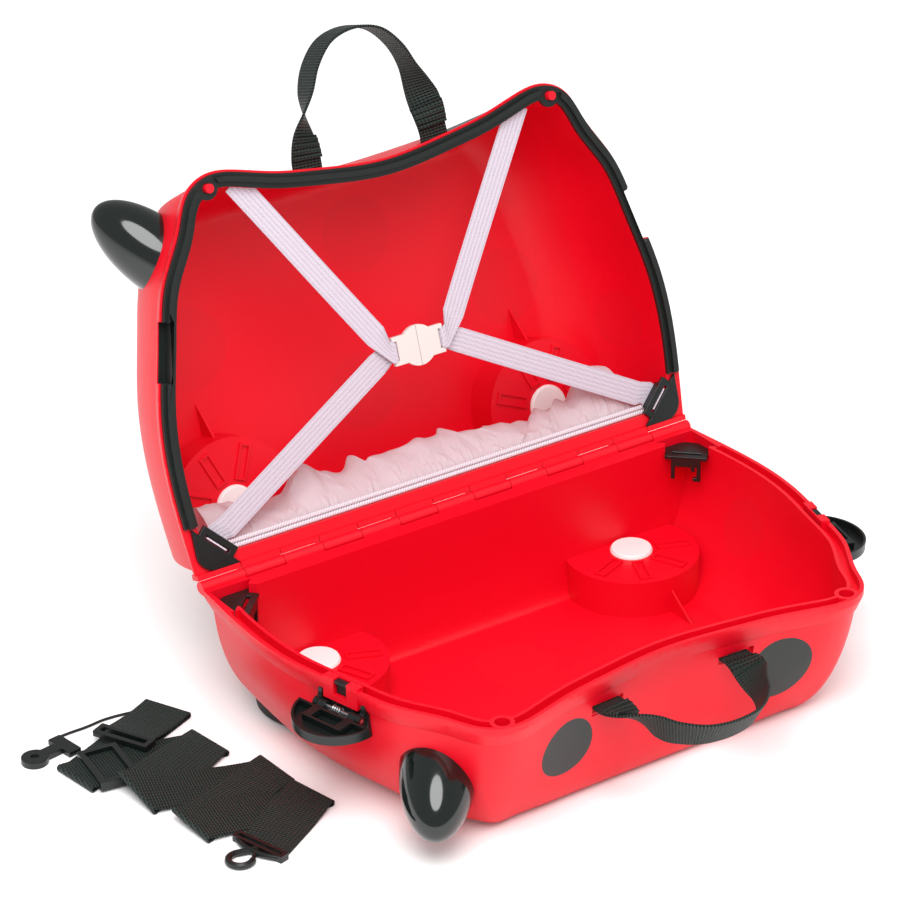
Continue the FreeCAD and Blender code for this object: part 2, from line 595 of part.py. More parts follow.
WHEEL_OUT = "half_depth -boss_depth -wall -axial_gap"
BOSS_TOP = "-axial_gap -wall"
WEB_OUT = "web_start wheel_web"
BORE = "axle_radius run_clearance"
RIM = "wheel_radius -tread"
RIM_IN = "wheel_radius -tread -wheel_recess"
WHEEL_PIECES = {
    "hub": ((BORE, ""), ("hub_radius", ""), ("hub_radius", "web_start"), (RIM_IN, "web_start"),
            (RIM_IN, ""), (RIM, ""), (RIM, WHEEL_OUT), (RIM_IN, WHEEL_OUT), (RIM_IN, WEB_OUT),
            (BORE, WEB_OUT)),
    "tyre": ((RIM, ""), ("wheel_radius -tread_round", ""), ("wheel_radius", "tread_round"),
             ("wheel_radius", WHEEL_OUT + " -tread_round"), ("wheel_radius -tread_round", WHEEL_OUT),
             (RIM, WHEEL_OUT)),
    "axle": (("", BOSS_TOP + " -cap_grip"), ("axle_radius", BOSS_TOP + " -cap_grip"),
             ("axle_radius", WEB_OUT + " axial_gap"), ("axle_head_radius", WEB_OUT + " axial_gap"),
             ("axle_head_radius", WEB_OUT + " axial_gap axle_head"), ("", WEB_OUT + " axial_gap axle_head")),
    "axle_cap": ((BORE, BOSS_TOP), ("cap_radius", BOSS_TOP), ("cap_radius", BOSS_TOP + " -cap_edge"),
                 ("cap_radius -cap_edge", BOSS_TOP + " -cap_height"), ("", BOSS_TOP + " -cap_height"),
                 ("", BOSS_TOP + " -cap_grip"), (BORE, BOSS_TOP + " -cap_grip")),
}


def wheels():
    """Four wheels on their axles, each axle held by a white cap inside its boss."""
    for half, frame, flip in (("base", BASE, 0), ("lid", LID, 180)):
        for end, centre in zip(("front", "rear"), wheel_centres()):
            depth = S.wheel_inner if flip == 0 else -S.wheel_inner
            place = frame.multiply(Placement(at_depth(centre, depth), Rotation(AXIS_X, flip)))
            for piece, profile in WHEEL_PIECES.items():
                turned_body("%s_%s_%s" % (half, end, piece), profile, place)


def horn(outer):
    """Bullet-shaped grip, cut to sit on the shell."""
    tip = Vector(S.horn_length, 0, 0)
    profile = [tip, Vector(-S.horn_radius, 0, 0), Vector(-S.horn_radius, S.horn_radius, 0)]
    for step in range(HORN_STEPS):
        angle = math.pi / 2 * step / HORN_STEPS
        profile.append(Vector(S.horn_length * math.sin(angle), S.horn_radius * math.cos(angle), 0))
    bullet = Part.Face(Part.makePolygon(profile + [tip])).revolve(ORIGIN, AXIS_X, 360)
    start = Vector(-S.horn_x, S.horn_y, S.horn_depth)
    bullet.Placement = Placement(start, Rotation(AXIS_X, HORN_AIM))
    return bullet.cut(outer)


# Latch pieces, in the latch's own frame

def latch_mount(outside):
    """Plate on the end wall with two pointed ears that hold the pin."""
    half = S.ear_span / 2 + S.ear_thickness
    wall_in = -S.pivot_out * 2
    plate = block(Vector(-half, wall_in, -S.mount_height),
                  Vector(half, S.mount_plate - S.pivot_out, S.pivot_boss))
    profile = [(wall_in, -S.mount_height), (S.mount_plate - S.pivot_out, -S.mount_height / 2),
               (S.pivot_boss, 0), (-S.mount_plate, S.ear_step), (-S.mount_plate, S.ear_height / 2),
               (-S.pivot_out, S.ear_height), (wall_in, S.ear_height)]
    ears = []
    for side in (-1, 1):
        low = side * S.ear_span / 2 - S.ear_thickness / 2
        corners = [Vector(low, y, z) for y, z in profile]
        ear = Part.Face(Part.makePolygon(corners + corners[:1])).extrude(Vector(S.ear_thickness, 0, 0))
        ears.append(ear)
        ears.append(rod(Vector(low, 0, 0), Vector(low + S.ear_thickness, 0, 0), S.pivot_boss))
    bore = rod(Vector(-half, 0, 0), Vector(half, 0, 0), S.latch_pin_radius + S.run_clearance)
    return plate.fuse(ears).cut([bore, outside])


def lever_outline(margin):
    """Half-oval plan of the lever, from the pivot side outwards."""
    across = S.latch_length / 2 - margin
    start = S.pivot_boss + S.lever_wall / 2
    ends = [Vector(-across, start + margin, 0), Vector(across, start + margin, 0)]
    arc = Part.Arc(ends[0], Vector(0, S.lever_reach - margin, 0), ends[1]).toShape()
    return Part.Face(Part.Wire([arc, Part.makeLine(ends[1], ends[0])]))


def latch_lever():
    """Open tray that covers the catch, carried on two pivot bosses."""
    top = S.lever_wall / 2
    tray = lever_outline(0).extrude(Vector(0, 0, S.lever_height))
    tray.translate(Vector(0, 0, top - S.lever_height))
    hollow = lever_outline(S.lever_wall).extrude(Vector(0, 0, S.lever_height))
    hollow.translate(Vector(0, 0, top - S.lever_height + S.lever_wall))
    tray = tray.cut(hollow)
    inner = S.ear_span / 2 - S.ear_thickness / 2 - S.seat_clearance
    added = []
    for side in (-1, 1):
        low = min(side * inner, side * (inner - S.arm_width))
        added.append(rod(Vector(low, 0, 0), Vector(low + S.arm_width, 0, 0), S.pivot_boss))
        added.append(block(Vector(low, 0, -S.pivot_boss), Vector(low + S.arm_width, S.lever_reach / 2, top)))
    rib = block(Vector(-inner, S.lever_reach / 2, top - S.lever_height),
                Vector(inner, S.lever_reach / 2 + S.lever_wall, top))
    bore = rod(Vector(-inner, 0, 0), Vector(inner, 0, 0), S.latch_pin_radius + S.run_clearance)
    return tray.fuse(added + [rib]).cut(bore)


def latch_pin():
    half = S.ear_span / 2 + S.ear_thickness / 2
    return rod(Vector(-half, 0, 0), Vector(half, 0, 0), S.latch_pin_radius)


def coil_point(turn):
    angle = 2 * math.pi * turn
    radius = S.spring_radius - S.spring_wire / 2
    along = (turn - SPRING_TURNS / 2) * S.spring_pitch
    return Vector(along, -radius * math.sin(angle), radius * math.cos(angle))


def spring_gap():
    """Least clear distance between the spring's own turns, measured on points of its middle line."""
    count = int((SPRING_TURNS - 1 / 2) * GAP_STEPS)
    points = [coil_point(1 / 2 + step / GAP_STEPS) for step in range(count + 1)]
    apart = GAP_STEPS // 2
    return min(point.distanceToPoint(other) for index, point in enumerate(points)
               for other in points[index + apart:]) - S.spring_wire


def latch_spring():
    """Torsion spring round the pin, with both legs against the plate."""
    back = Vector(0, -S.spring_leg, 0)
    first = coil_point(1 / 2)
    edges = [Part.makeLine(first + back, first)]
    for quarter in range(2, SPRING_TURNS * 4):
        bend = [coil_point((quarter + step) / 4) for step in (0, 1 / 2, 1)]
        edges.append(Part.Arc(*bend).toShape())
    last = coil_point(SPRING_TURNS)
    edges.append(Part.makeLine(last, last + back))
    section = facet_ring(first + back, AXIS_Y, S.spring_wire / 2)
    print("spring least gap %.2f mm" % spring_gap())
    return Part.Wire(edges).makePipeShell([section], True, False)


def latches(outer, frames):
    for end, frame in zip(("front", "rear"), frames):
        outside = moved(outer, frame.inverse())
        place = BASE.multiply(frame)
        solid_node(end + "_latch_mount", latch_mount(outside), place)
        solid_node(end + "_latch_keeper", latch_keeper(), place)
        solid_node(end + "_latch_pin", latch_pin(), place)
        solid_node(end + "_latch_spring", latch_spring(), place)
        drooped = place.multiply(Placement(ORIGIN, Rotation(AXIS_X, -LATCH_OPEN)))
        solid_node(end + "_latch_lever", latch_lever(), drooped)


# Webbing carry handles

def band_section(centre, along, width_axis, width, thickness):
    """A rectangular section of webbing square to its run."""
    across = (width_axis - along * width_axis.dot(along)).normalize()
    through = along.cross(across) * (thickness / 2)
    across = across * (width / 2)
    corners = [centre + across + through, centre - across + through,
               centre - across - through, centre + across - through]
    return Part.makePolygon(corners + corners[:1])


def handle_axis(outer):
    """Height of the bars that the handle swings on."""
    return min(outside_y(outer, c.x, c.z) for c in handle_centres()) - S.handle_bar_radius


def handle(outer, rise, droop, lean):
    """Carry handle: flat in its slots, turned on edge at the crown, with a bar sewn in each end."""
    pivot = handle_axis(outer)
    half = S.handle_span / 2
    stations = [(-across, up, twist) for across, up, twist in HANDLE_SHARES]
    stations += [(across, up, 2 - twist) for across, up, twist in reversed(HANDLE_SHARES[:-1])]
    halves = [tuple((a + b) / 2 for a, b in zip(*pair)) for pair in zip(stations, stations[1:])]
    stations = [station for pair in zip(stations, halves) for station in pair] + stations[-1:]
    places = [Vector(S.handle_offset + half * across, pivot + rise * up, S.handle_depth + droop * up ** 2)
              for across, up, twist in stations]
    sections = []
    for index, centre in enumerate(places):
        before = places[max(index - 1, 0)]
        after = places[min(index + 1, len(places) - 1)]
        turn = stations[index][2] * math.pi / 2
        width_axis = Vector(math.cos(turn), -math.sin(turn) * math.sin(lean), math.sin(turn) * math.cos(lean))
        sections.append(band_section(centre, (after - before).normalize(), width_axis,
                                     S.handle_width, S.handle_thickness))
    bars = []
    for centre in handle_centres():
        start = Vector(centre.x - S.handle_width / 2, pivot, centre.z)
        bars.append(rod(start, start + Vector(S.handle_width, 0, 0), S.handle_bar_radius))
    return Part.makeLoft(sections, True, True).fuse(bars)


# Corner pieces, packing straps, buckle and pocket

def corner_piece(side, low):
    """Plate in a hinge corner with a slot and a bar on its open side."""
    reach = S.corner_leg / math.sqrt(2)
    half = S.strap_width / 2 + S.slot_margin
    plate = corner_plate(side, 0, low, S.corner_plate)
    tip_x, tip_y = corner_point(side, 0, 0)
    tip_edges = [edge for edge in plate.Edges
                 if all(math.hypot(v.X - tip_x, v.Y - tip_y) < S.seat_clearance for v in edge.Vertexes)]
    plate = plate.makeFillet(S.corner_round, tip_edges)
    slot = corner_bars(side, reach, S.corner_slot, half, low - S.overrun, S.corner_plate + S.overrun * 2)
    return plate.cut(slot).removeSplitter()


def lid_corner(side):
    """Corner piece whose bar is deepened to carry the strap."""
    low = S.seat_clearance
    reach = S.corner_leg / math.sqrt(2) + S.corner_slot
    drop = S.lower_strap_depth - S.seat_clearance - low
    bar = corner_bars(side, reach, S.corner_bar, S.strap_width / 2 + S.slot_margin, low, drop)
    return corner_piece(side, low).fuse(bar).removeSplitter()


def base_corner(side):
    """Corner piece with a hanging strip and three prongs to hook a strap on."""
    low = S.corner_recess
    under = low + S.corner_plate
    reach = S.corner_leg / math.sqrt(2) + S.corner_slot + S.corner_bar - S.hook_prong
    half = S.strap_width / 2 + S.slot_margin
    added = [corner_bars(side, reach, S.hook_prong, half, under, S.hook_strip)]
    pieces = [(place * (half - S.hook_prong / 2), S.hook_prong / 2, under, S.hook_strip + S.hook_drop * drop)
              for place, drop in HOOK_SHARES]
    foot = under + S.hook_strip + S.hook_drop - S.hook_prong
    pieces.append((S.hook_prong - half, S.hook_prong, foot, S.hook_prong))
    for middle, width, top, height in pieces:
        points = [corner_point(side, reach, middle - width), corner_point(side, reach, middle + width),
                  corner_point(side, reach + S.hook_prong, middle + width),
                  corner_point(side, reach + S.hook_prong, middle - width)]
        added.append(prism(points, top, height))
    return corner_piece(side, low).fuse(added).removeSplitter()


def flat_strap(start, end, depth):
    """A straight length of elastic between two (x, y) points."""
    along = Vector(end[0] - start[0], end[1] - start[1], 0).normalize()
    across = Vector(-along.y, along.x, 0) * (S.strap_width / 2)
    points = []
    for (x, y), side in ((start, 1), (end, 1), (end, -1), (start, -1)):
        points.append((x + across.x * side, y + across.y * side))
    return prism(points, depth, S.strap_thickness)


def packing_straps(room):
    """Four elastic straps from the lid's top and the corner pieces to the buckle."""
    tab = S.buckle_radius + S.buckle_tab + S.seat_clearance
    middle = block(Vector(-tab, 0, 0), Vector(tab, S.rim_height, S.half_depth))
    for end, side in (("front", -1), ("rear", 1)):
        start = (0, S.buckle_y - S.strap_width * STRAP_AIM_SHARES[0])
        upper = flat_strap(start, (side * S.strap_top_x, S.rim_height), S.strap_depth)
        solid_node(end + "_upper_strap", mirrored(upper.common(room).cut(middle)), LID)
        start = (0, S.buckle_y + S.strap_width * STRAP_AIM_SHARES[1])
        lower = flat_strap(start, (side * S.strap_low_x, S.strap_low_y), S.lower_strap_depth)
        solid_node(end + "_lower_strap", mirrored(lower.common(room).cut(middle)), LID)


def buckle_half(side):
    """Half of the round clip, with the slotted tab that its two straps are sewn to."""
    low = S.strap_depth - S.strap_thickness
    high = low + S.buckle_thickness
    disc = rod(Vector(0, S.buckle_y, low), Vector(0, S.buckle_y, high), S.buckle_radius)
    reach = S.buckle_radius + S.buckle_tab
    tab = block(Vector(0, S.buckle_y - S.buckle_tab_height / 2, low),
                Vector(reach, S.buckle_y + S.buckle_tab_height / 2, high))
    slot = block(Vector(reach - S.buckle_slot * 2, S.buckle_y - S.buckle_tab_height / 3, low - S.overrun),
                 Vector(reach - S.buckle_slot, S.buckle_y + S.buckle_tab_height / 3, high + S.overrun))
    other = block(Vector(-reach, 0, 0), Vector(S.buckle_gap / 2, S.rim_height, S.half_depth))
    half = disc.fuse(tab).cut([slot, other]).removeSplitter()
    return half if side > 0 else half.mirror(ORIGIN, AXIS_X)


def inside_y(depth):
    """Where the lid's hinge wall lies inside, at a depth."""
    share = depth / (S.half_depth - S.wall)
    return S.hinge_gap + S.hinge_fall * fall_at(share, BLUNT_POWER) + cavity_inset(share)


def pocket():
    """Gathered cloth pocket along the hinge side of the lid, with its main puffs."""
    sections = []
    for index, share in enumerate(POCKET_SHARES):
        x = S.pocket_half_length * share
        puff = S.pocket_puff * (index % 2)
        top = S.elastic_y + S.pocket_height * (1 - abs(share) ** 4 / 2) - puff
        front = S.pocket_front + puff / 2
        back = S.pocket_back - puff
        middle = (front + back) / 2
        outline = [(inside_y(front) + S.pocket_gap, front), (S.elastic_y, front),
                   ((S.elastic_y + top) / 2, middle - S.pocket_puff), (top, middle), (top, back),
                   (inside_y(back) + S.pocket_gap, back)]
        corners = [Vector(x, y, depth) for y, depth in outline]
        sections.append(Part.makePolygon(corners + corners[:1]))
    return Part.makeLoft(sections, True, True)


def pocket_elastic():
    """Corded elastic hem in front of the pocket."""
    depth = S.pocket_front - S.elastic_radius - S.seat_clearance
    ends = [Vector(side * S.pocket_half_length, S.elastic_y + S.elastic_sag, depth) for side in (-1, 1)]
    path = Part.Wire(Part.Arc(ends[0], Vector(0, S.elastic_y, depth), ends[1]).toShape())
    along = path.Edges[0].tangentAt(path.Edges[0].FirstParameter)
    section = Part.Wire(Part.makeCircle(S.elastic_radius, ends[0], along))
    return path.makePipeShell([section], True, False)


# Tow strap, in the part's own frame, lying on the floor in front of the case

def floor_point(shares):
    return Vector(shares[0] * S.rim_half_length, S.hinge_line - shares[1] * S.rim_height, 0)


def on_floor(place, aim, height=0):
    """A placement on the floor with X along an aim."""
    turn = math.degrees(math.atan2(aim.y, aim.x))
    return Placement(Vector(place.x, place.y, height), Rotation(AXIS_Z, turn))


def crease(points, index):
    """Half the crease across the webbing at a fold or an end, pointing to the next run's side (-Y)."""
    before = (points[index] - points[max(index - 1, 0)])
    after = (points[min(index + 1, len(points) - 1)] - points[index])
    if index == 0:
        along = after.normalize()
        line = Vector(-along.y, along.x, 0)
    elif index == len(points) - 1:
        along = before.normalize()
        line = Vector(-HOOK_AIM.y, HOOK_AIM.x, 0).normalize()
    else:
        along = before.normalize()
        line = (along + after.normalize()).normalize()
    line = line * (S.tow_width / 2 / along.cross(line).Length)
    return line if line.y < 0 else -line


def tow_section(centre, line, lows, flipped):
    """Corners of a section of webbing with its two edges at their own heights."""
    low = [centre + line + Vector(0, 0, lows[0]), centre - line + Vector(0, 0, lows[1])]
    high = [corner + Vector(0, 0, S.tow_thickness) for corner in low]
    first, second = (high, low) if flipped else (low, high)
    return [first[0], first[1], second[1], second[0]]


def fold_sections(points, index, lows, outer_first):
    """Sections round a fold, from the lower run, whose edges are at their own heights, to the upper one."""
    line = crease(points, index)
    out = Vector(line.y, -line.x, 0).normalize()
    if out.dot(points[index] - points[index - 1]) < 0:
        out = -out
    radius = S.tow_lift / 2
    ends = [points[index] + line * side + Vector(0, 0, low + S.tow_thickness / 2 + radius)
            for side, low in zip((1, -1), lows)]
    sections = []
    for share in FOLD_SHARES:
        turn = math.pi / 2 * share
        aim = out * math.cos(turn) + AXIS_Z * math.sin(turn)
        outer = [end + aim * (radius + S.tow_thickness / 2) for end in ends]
        inner = [end + aim * (radius - S.tow_thickness / 2) for end in ends]
        first, second = (outer, inner) if outer_first else (inner, outer)
        sections.append([first[0], first[1], second[1], second[0]])
    return sections


def strip_solid(sections):
    """A solid through four-cornered sections, with ruled sides."""
    faces = [Part.Face(Part.makePolygon(section + section[:1])) for section in (sections[0], sections[-1])]
    for first, second in zip(sections, sections[1:]):
        for corner in range(len(first)):
            faces.append(Part.makeRuledSurface(Part.makeLine(first[corner - 1], first[corner]),
                                               Part.makeLine(second[corner - 1], second[corner])))
    shell = Part.makeShell(faces)
    shell.sewShape()
    solid = Part.makeSolid(shell)
    if solid.Volume < 0:
        solid.reverse()
    return solid


def tow_webbing():
    """The folded webbing: each run lies on the one before it, and its first end on the slider's run."""
    points = [floor_point(shares) for shares in TOW_FOLD_SHARES]
    sections = []
    for index, shares in enumerate(TOW_LEVEL_SHARES):
        levels = [[S.tow_lift * share for share in pair] for pair in shares]
        lines = [crease(points, index), crease(points, index + 1)]
        lines.insert(1, (lines[0] + lines[1]) / 2)
        centres = [points[index], (points[index] + points[index + 1]) / 2, points[index + 1]]
        if index == 1:
            sections += reversed(fold_sections(points, index, levels[0], False))
        elif index:
            sections += fold_sections(points, index, last_level, index % 2)
        for centre, line, lows in zip(centres, lines, levels):
            sections.append(tow_section(centre, line, lows, index % 2))
        last_level = levels[-1]
    return strip_solid(sections)


def upright_edges(shape):
    """Edges that stand square to the floor."""
    return [edge for edge in shape.Edges if edge.tangentAt(edge.FirstParameter).cross(AXIS_Z).Length < 1 / 2]


def moulded_frame(length, width, bar, height):
    """A rectangular ring from X = 0 outwards, with round corners."""
    ring = block(Vector(0, -width / 2, 0), Vector(length, width / 2, height))
    ring = ring.cut(block(Vector(bar, bar - width / 2, -height),
                          Vector(length - bar, width / 2 - bar, height * 2)))
    return ring.makeFillet(bar * FRAME_ROUND_SHARE, upright_edges(ring))


def slider():
    """Adjuster: a frame over the webbing with the centre bar that the webbing bends round."""
    low = S.tow_thickness + S.seat_clearance
    over = S.tow_top
    side = (S.slider_width - S.tow_width) / 2 - S.seat_clearance
    half = S.slider_length / 2
    bars = []
    for end in (-1, 1):
        rail = end * (S.slider_width - side) / 2
        bars.append(block(Vector(-half, rail - side / 2, low),
                          Vector(half, rail + side / 2, low + S.slider_height)))
        place = end * (half - S.slider_bar / 2)
        bars.append(block(Vector(place - S.slider_bar / 2, -S.slider_width / 2, over),
                          Vector(place + S.slider_bar / 2, S.slider_width / 2, low + S.slider_height)))
    bars.append(block(Vector(-S.slider_bar / 2, -S.slider_width / 2, low),
                      Vector(S.slider_bar / 2, S.slider_width / 2, low + S.centre_bar)))
    return bars[0].fuse(bars[1:]).removeSplitter()


def hook_tangent():
    """Angle and length of the straight sides between the hook's neck and its bow."""
    distance = S.hook_length - S.hook_neck
    return math.asin(S.hook_radius / distance), math.sqrt(distance ** 2 - S.hook_radius ** 2)


def hook_body():
    """Frame for the webbing, neck and open bow of the snap hook."""
    frame = moulded_frame(S.hook_frame, S.hook_width, S.hook_bar, S.hook_height)
    angle, length = hook_tangent()
    level = S.hook_wire
    start = Vector(S.hook_neck, 0, level)
    low = Vector(S.hook_neck + length * math.cos(angle), -length * math.sin(angle), level)
    high = Vector(low.x, -low.y, level)
    bow = Part.Arc(low, Vector(S.hook_length + S.hook_radius, 0, level), high).toShape()
    path = Part.Wire([Part.makeLine(start, low), bow])
    tube = path.makePipeShell([facet_ring(start, low - start, S.hook_wire)], True, False)
    knob = rod(Vector(S.hook_neck - S.hook_bar, 0, level), Vector(S.hook_neck + S.hook_wire, 0, level),
               S.hook_wire)
    return frame.fuse([tube, knob])


def hook_gate():
    """Sprung gate that closes the bow, with the round eye that it turns on."""
    angle, length = hook_tangent()
    aim = Vector(math.cos(angle), math.sin(angle), 0)
    neck = Vector(S.hook_neck, 0, S.hook_wire)
    pivot = neck + aim * S.gate_start
    eye = rod(pivot - AXIS_Z * S.gate_radius, pivot + AXIS_Z * S.gate_radius, S.gate_radius)
    return rod(pivot, neck + aim * (length - S.seat_clearance), S.gate_radius).fuse(eye)


def key_grip():
    """Flat grip of the key, with a round end and a finger hole."""
    half = S.key_width / 2
    grip = block(Vector(0, -half / 2, 0), Vector(S.key_length - half, half / 2, S.key_thickness))
    end = Vector(S.key_length - half, 0, 0)
    disc = rod(end, end + Vector(0, 0, S.key_thickness), half)
    hole = rod(end, end + Vector(0, 0, S.key_thickness), S.key_hole)
    return grip.fuse(disc).cut(hole).removeSplitter()


def key_tab():
    """Clip plate behind the key's grip."""
    near = -S.seat_clearance
    tab = block(Vector(near - S.tab_width, -S.tab_length / 2, 0),
                Vector(near, S.tab_length / 2, S.tab_thickness))
    return tab.makeFillet(S.tab_thickness * FRAME_ROUND_SHARE, upright_edges(tab))


def cord_tube(points, radius):
    """A tube on straight runs joined by the largest arcs that the runs allow."""
    edges = []
    start = points[0]
    for before, corner, after in zip(points, points[1:], points[2:]):
        coming = (corner - before).normalize()
        going = (after - corner).normalize()
        turn = coming.getAngle(going)
        reach = CORD_ARC_SHARE * min((corner - before).Length, (after - corner).Length)
        print("cord bend radius %.1f mm" % (reach / math.tan(turn / 2)))
        first = corner - coming * reach
        last = corner + going * reach
        inward = (going - coming).normalize()
        sagitta = reach / math.tan(turn / 2) * (1 / math.cos(turn / 2) - 1)
        edges.append(Part.makeLine(start, first))
        edges.append(Part.Arc(first, corner + inward * sagitta, last).toShape())
        start = last
    edges.append(Part.makeLine(start, points[-1]))
    path = Part.Wire(edges)
    section = facet_ring(points[0], points[1] - points[0], radius)
    tube = path.makePipeShell([section], True, False)
    plain_volume = Part.Face(section).Area * path.Length
    print("cord volume over section times length %.4f" % (tube.Volume / plain_volume))
    return tube


def tow_strap():
    points = [floor_point(shares) for shares in TOW_FOLD_SHARES]
    ring_place = on_floor(points[0], points[0] - points[1], S.tow_top)
    run = points[3] - points[2]
    slider_place = on_floor(points[2] + run * SLIDER_RUN_SHARE, run)
    hook_place = on_floor(points[-1], HOOK_AIM)
    gap = Placement(Vector(S.seat_clearance, 0, 0), Rotation())
    pieces = {
        "tow_ring": (moulded_frame(S.ring_length, S.ring_width, S.ring_bar, S.ring_height),
                     ring_place.multiply(gap)),
        "tow_slider": (slider(), slider_place),
        "tow_hook": (hook_body(), hook_place.multiply(gap)),
        "tow_hook_gate": (hook_gate(), hook_place.multiply(gap)),
        "key_grip": (key_grip(), on_floor(floor_point(KEY_PLACE_SHARES), KEY_AIM)),
        "key_tab": (key_tab(), on_floor(floor_point(KEY_PLACE_SHARES), KEY_AIM)),
    }
    for label, (shape, place) in pieces.items():
        solid_node(label, shape, place)
    solid_node("tow_webbing", tow_webbing(), Placement())
    solid_node("key_cord", cord_tube(KEY_CORD, S.cord_radius), Placement())


# The whole suitcase

def suitcase():
    outer = outer_form()
    frames = latch_frames(outer)
    solid_node("base_shell", base_shell(outer, frames), BASE)
    solid_node("lid_shell", mirrored(lid_shell(outer, frames)), LID)
    solid_node("lid_seal", mirrored(lid_seal(frames)), LID)
    reach = S.barrel_half + S.overrun
    solid_node("hinge_pin", rod(Vector(-reach, 0, 0), Vector(reach, 0, 0), S.pin_radius), BASE)
    both_halves("horn", horn(outer))
    wheels()
    latches(outer, frames)
    lean = math.radians(BASE_HANDLE_LEAN)
    solid_node("base_handle", handle(outer, S.base_handle_rise, S.base_handle_droop, lean), BASE)
    solid_node("lid_handle", mirrored(handle(outer, S.lid_handle_rise, 0, 0)), LID)
    for end, side in (("front", -1), ("rear", 1)):
        solid_node("base_%s_corner" % end, base_corner(side), BASE)
        solid_node("lid_%s_corner" % end, mirrored(lid_corner(side)), LID)
        solid_node(end + "_buckle_half", mirrored(buckle_half(side)), LID)
    room = bowl(S.half_depth - S.wall, lambda share: cavity_inset(share) + S.seat_clearance)
    packing_straps(room)
    solid_node("lid_pocket", mirrored(pocket()), LID)
    solid_node("pocket_elastic", mirrored(pocket_elastic()), LID)
    tow_strap()


suitcase()
doc.recompute()
failed = [item.Label for item in doc.Objects if "Invalid" in item.State or "Error" in item.State]
failed += [item.Label for item in nodes if item.Shape.isNull() or not item.Shape.isValid()]
if failed:
    raise RuntimeError("failed sub-parts: " + ", ".join(failed))

os.makedirs("parts", exist_ok=True)
for item in nodes:
    item.Shape.exportStep("parts/%s.step" % item.Label)
print("%d sub-parts written" % len(nodes))
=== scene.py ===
import math
import random

import bmesh
import bpy
from bpy.props import FloatProperty, IntProperty, PointerProperty
from mathutils import Matrix, Vector, noise
from mathutils.bvhtree import BVHTree


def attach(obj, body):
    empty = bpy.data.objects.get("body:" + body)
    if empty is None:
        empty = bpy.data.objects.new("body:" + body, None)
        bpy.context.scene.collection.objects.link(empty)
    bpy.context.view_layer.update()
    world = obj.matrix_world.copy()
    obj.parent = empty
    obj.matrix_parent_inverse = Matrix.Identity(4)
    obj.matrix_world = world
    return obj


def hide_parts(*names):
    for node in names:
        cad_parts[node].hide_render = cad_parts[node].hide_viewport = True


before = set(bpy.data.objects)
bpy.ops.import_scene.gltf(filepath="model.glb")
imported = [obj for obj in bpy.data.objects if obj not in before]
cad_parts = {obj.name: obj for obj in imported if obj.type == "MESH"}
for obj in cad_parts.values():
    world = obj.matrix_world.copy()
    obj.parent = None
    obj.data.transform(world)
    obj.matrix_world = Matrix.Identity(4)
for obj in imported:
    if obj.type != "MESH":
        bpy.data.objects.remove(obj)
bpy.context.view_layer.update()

bl_info = {
    "name": "Ride-on suitcase",
    "version": (1, 0, 0),
    "blender": (4, 5, 0),
    "location": "3D Viewport > Sidebar > Suitcase",
    "description": "Finishes an open ride-on suitcase: moulded shells, webbing, straps, pocket and stage",
    "category": "Object",
}

# The case's own frame: x along the hinge, s away from the hinge, q out of the rim plane, in metres.
HINGE = Vector((0, 0.144, 0.105))
RIM_HALF = 0.2265
RIM_HEIGHT = 0.288
LID_TURN = math.radians(72.5)
LID_UP = Vector((0, math.cos(LID_TURN), math.sin(LID_TURN)))
LID_OUT = Vector((0, math.sin(LID_TURN), -math.cos(LID_TURN)))

# Plain round spots on the outside, (x, s, q) of each and its radius.
SPOTS = ((-0.088, 0.267, 0.049, 0.0235), (0.099, 0.268, 0.049, 0.0265), (0.143, 0.128, 0.105, 0.030),
         (-0.139, 0.150, 0.105, 0.031), (0.000, 0.080, 0.105, 0.030), (0.020, 0.200, 0.105, 0.030),
         (0.205, 0.085, 0.050, 0.024))

# A carry handle from a slot to its crown: shares of half its span and of its rise, and quarter turns of twist.
HANDLE_SHARES = ((1.0, 0.0, 0.0), (0.99, 0.14, 0.0), (0.96, 0.3, 0.25), (0.89, 0.46, 0.65), (0.8, 0.62, 0.95),
                 (0.65, 0.8, 1.0), (0.38, 0.95, 1.0), (0.0, 1.0, 1.0))
HANDLE_WIDTH = 0.025
HANDLE_THICKNESS = 0.002
HANDLE_MIDDLE = 0.004
HANDLE_HALF_SPAN = 0.056
HANDLE_SLOT = (0.26246, 0.027)
HANDLE_STEPS = 12
SEWN_SHARES = (0.13, 0.32)
STITCH_PITCH = 0.0045

# Bullet-shaped grips: where the middle of each sits in its shell, and which way it points.
HORN_LENGTH = 0.058
HORN_RADIUS = 0.027
HORN_START = (-0.172, 0.232, 0.054)
HORN_AIM = (-0.56, 0.75, 0.36)
HORN_SINK = 0.001
HORN_STEPS = 32

# Packing straps: the straight lines of their middles, (x, s), and (x, s, q, width) where they leave the clip.
STRAP_WIDTH = 0.019
STRAP_THICKNESS = 0.0012
STRAP_STEPS = 12
UPPER_LINE = ((0.0345, 0.1385), (0.1248, 0.277))
UPPER_CLIP = ((0.0196, 0.123, 0.0070, 0.012), (0.0205, 0.123, 0.0046, 0.014), (0.0222, 0.123, 0.0042, 0.016),
              (0.0245, 0.1238, 0.0046, 0.018))
UPPER_DEPTH = 0.0068
UPPER_DIP = 0.0012
LOWER_LINE = ((0.0370, 0.1170), (0.1860, 0.0346))
LOWER_CLIP = ((0.0196, 0.123, 0.0072, 0.012), (0.0205, 0.123, 0.0092, 0.014), (0.0222, 0.1228, 0.0098, 0.016),
              (0.0245, 0.1225, 0.0096, 0.018))
LOWER_DEPTH = 0.0083

# Tip of the lid's hinge corner, (x, s), and the strap's (distance from it, q) under the bar and into the slot.
CORNER_TIP = (0.2178, 0.009)
CORNER_WAY = ((0.0345, 0.0083), (0.0300, 0.0083), (0.0268, 0.0080), (0.0257, 0.0062), (0.0255, 0.0012))

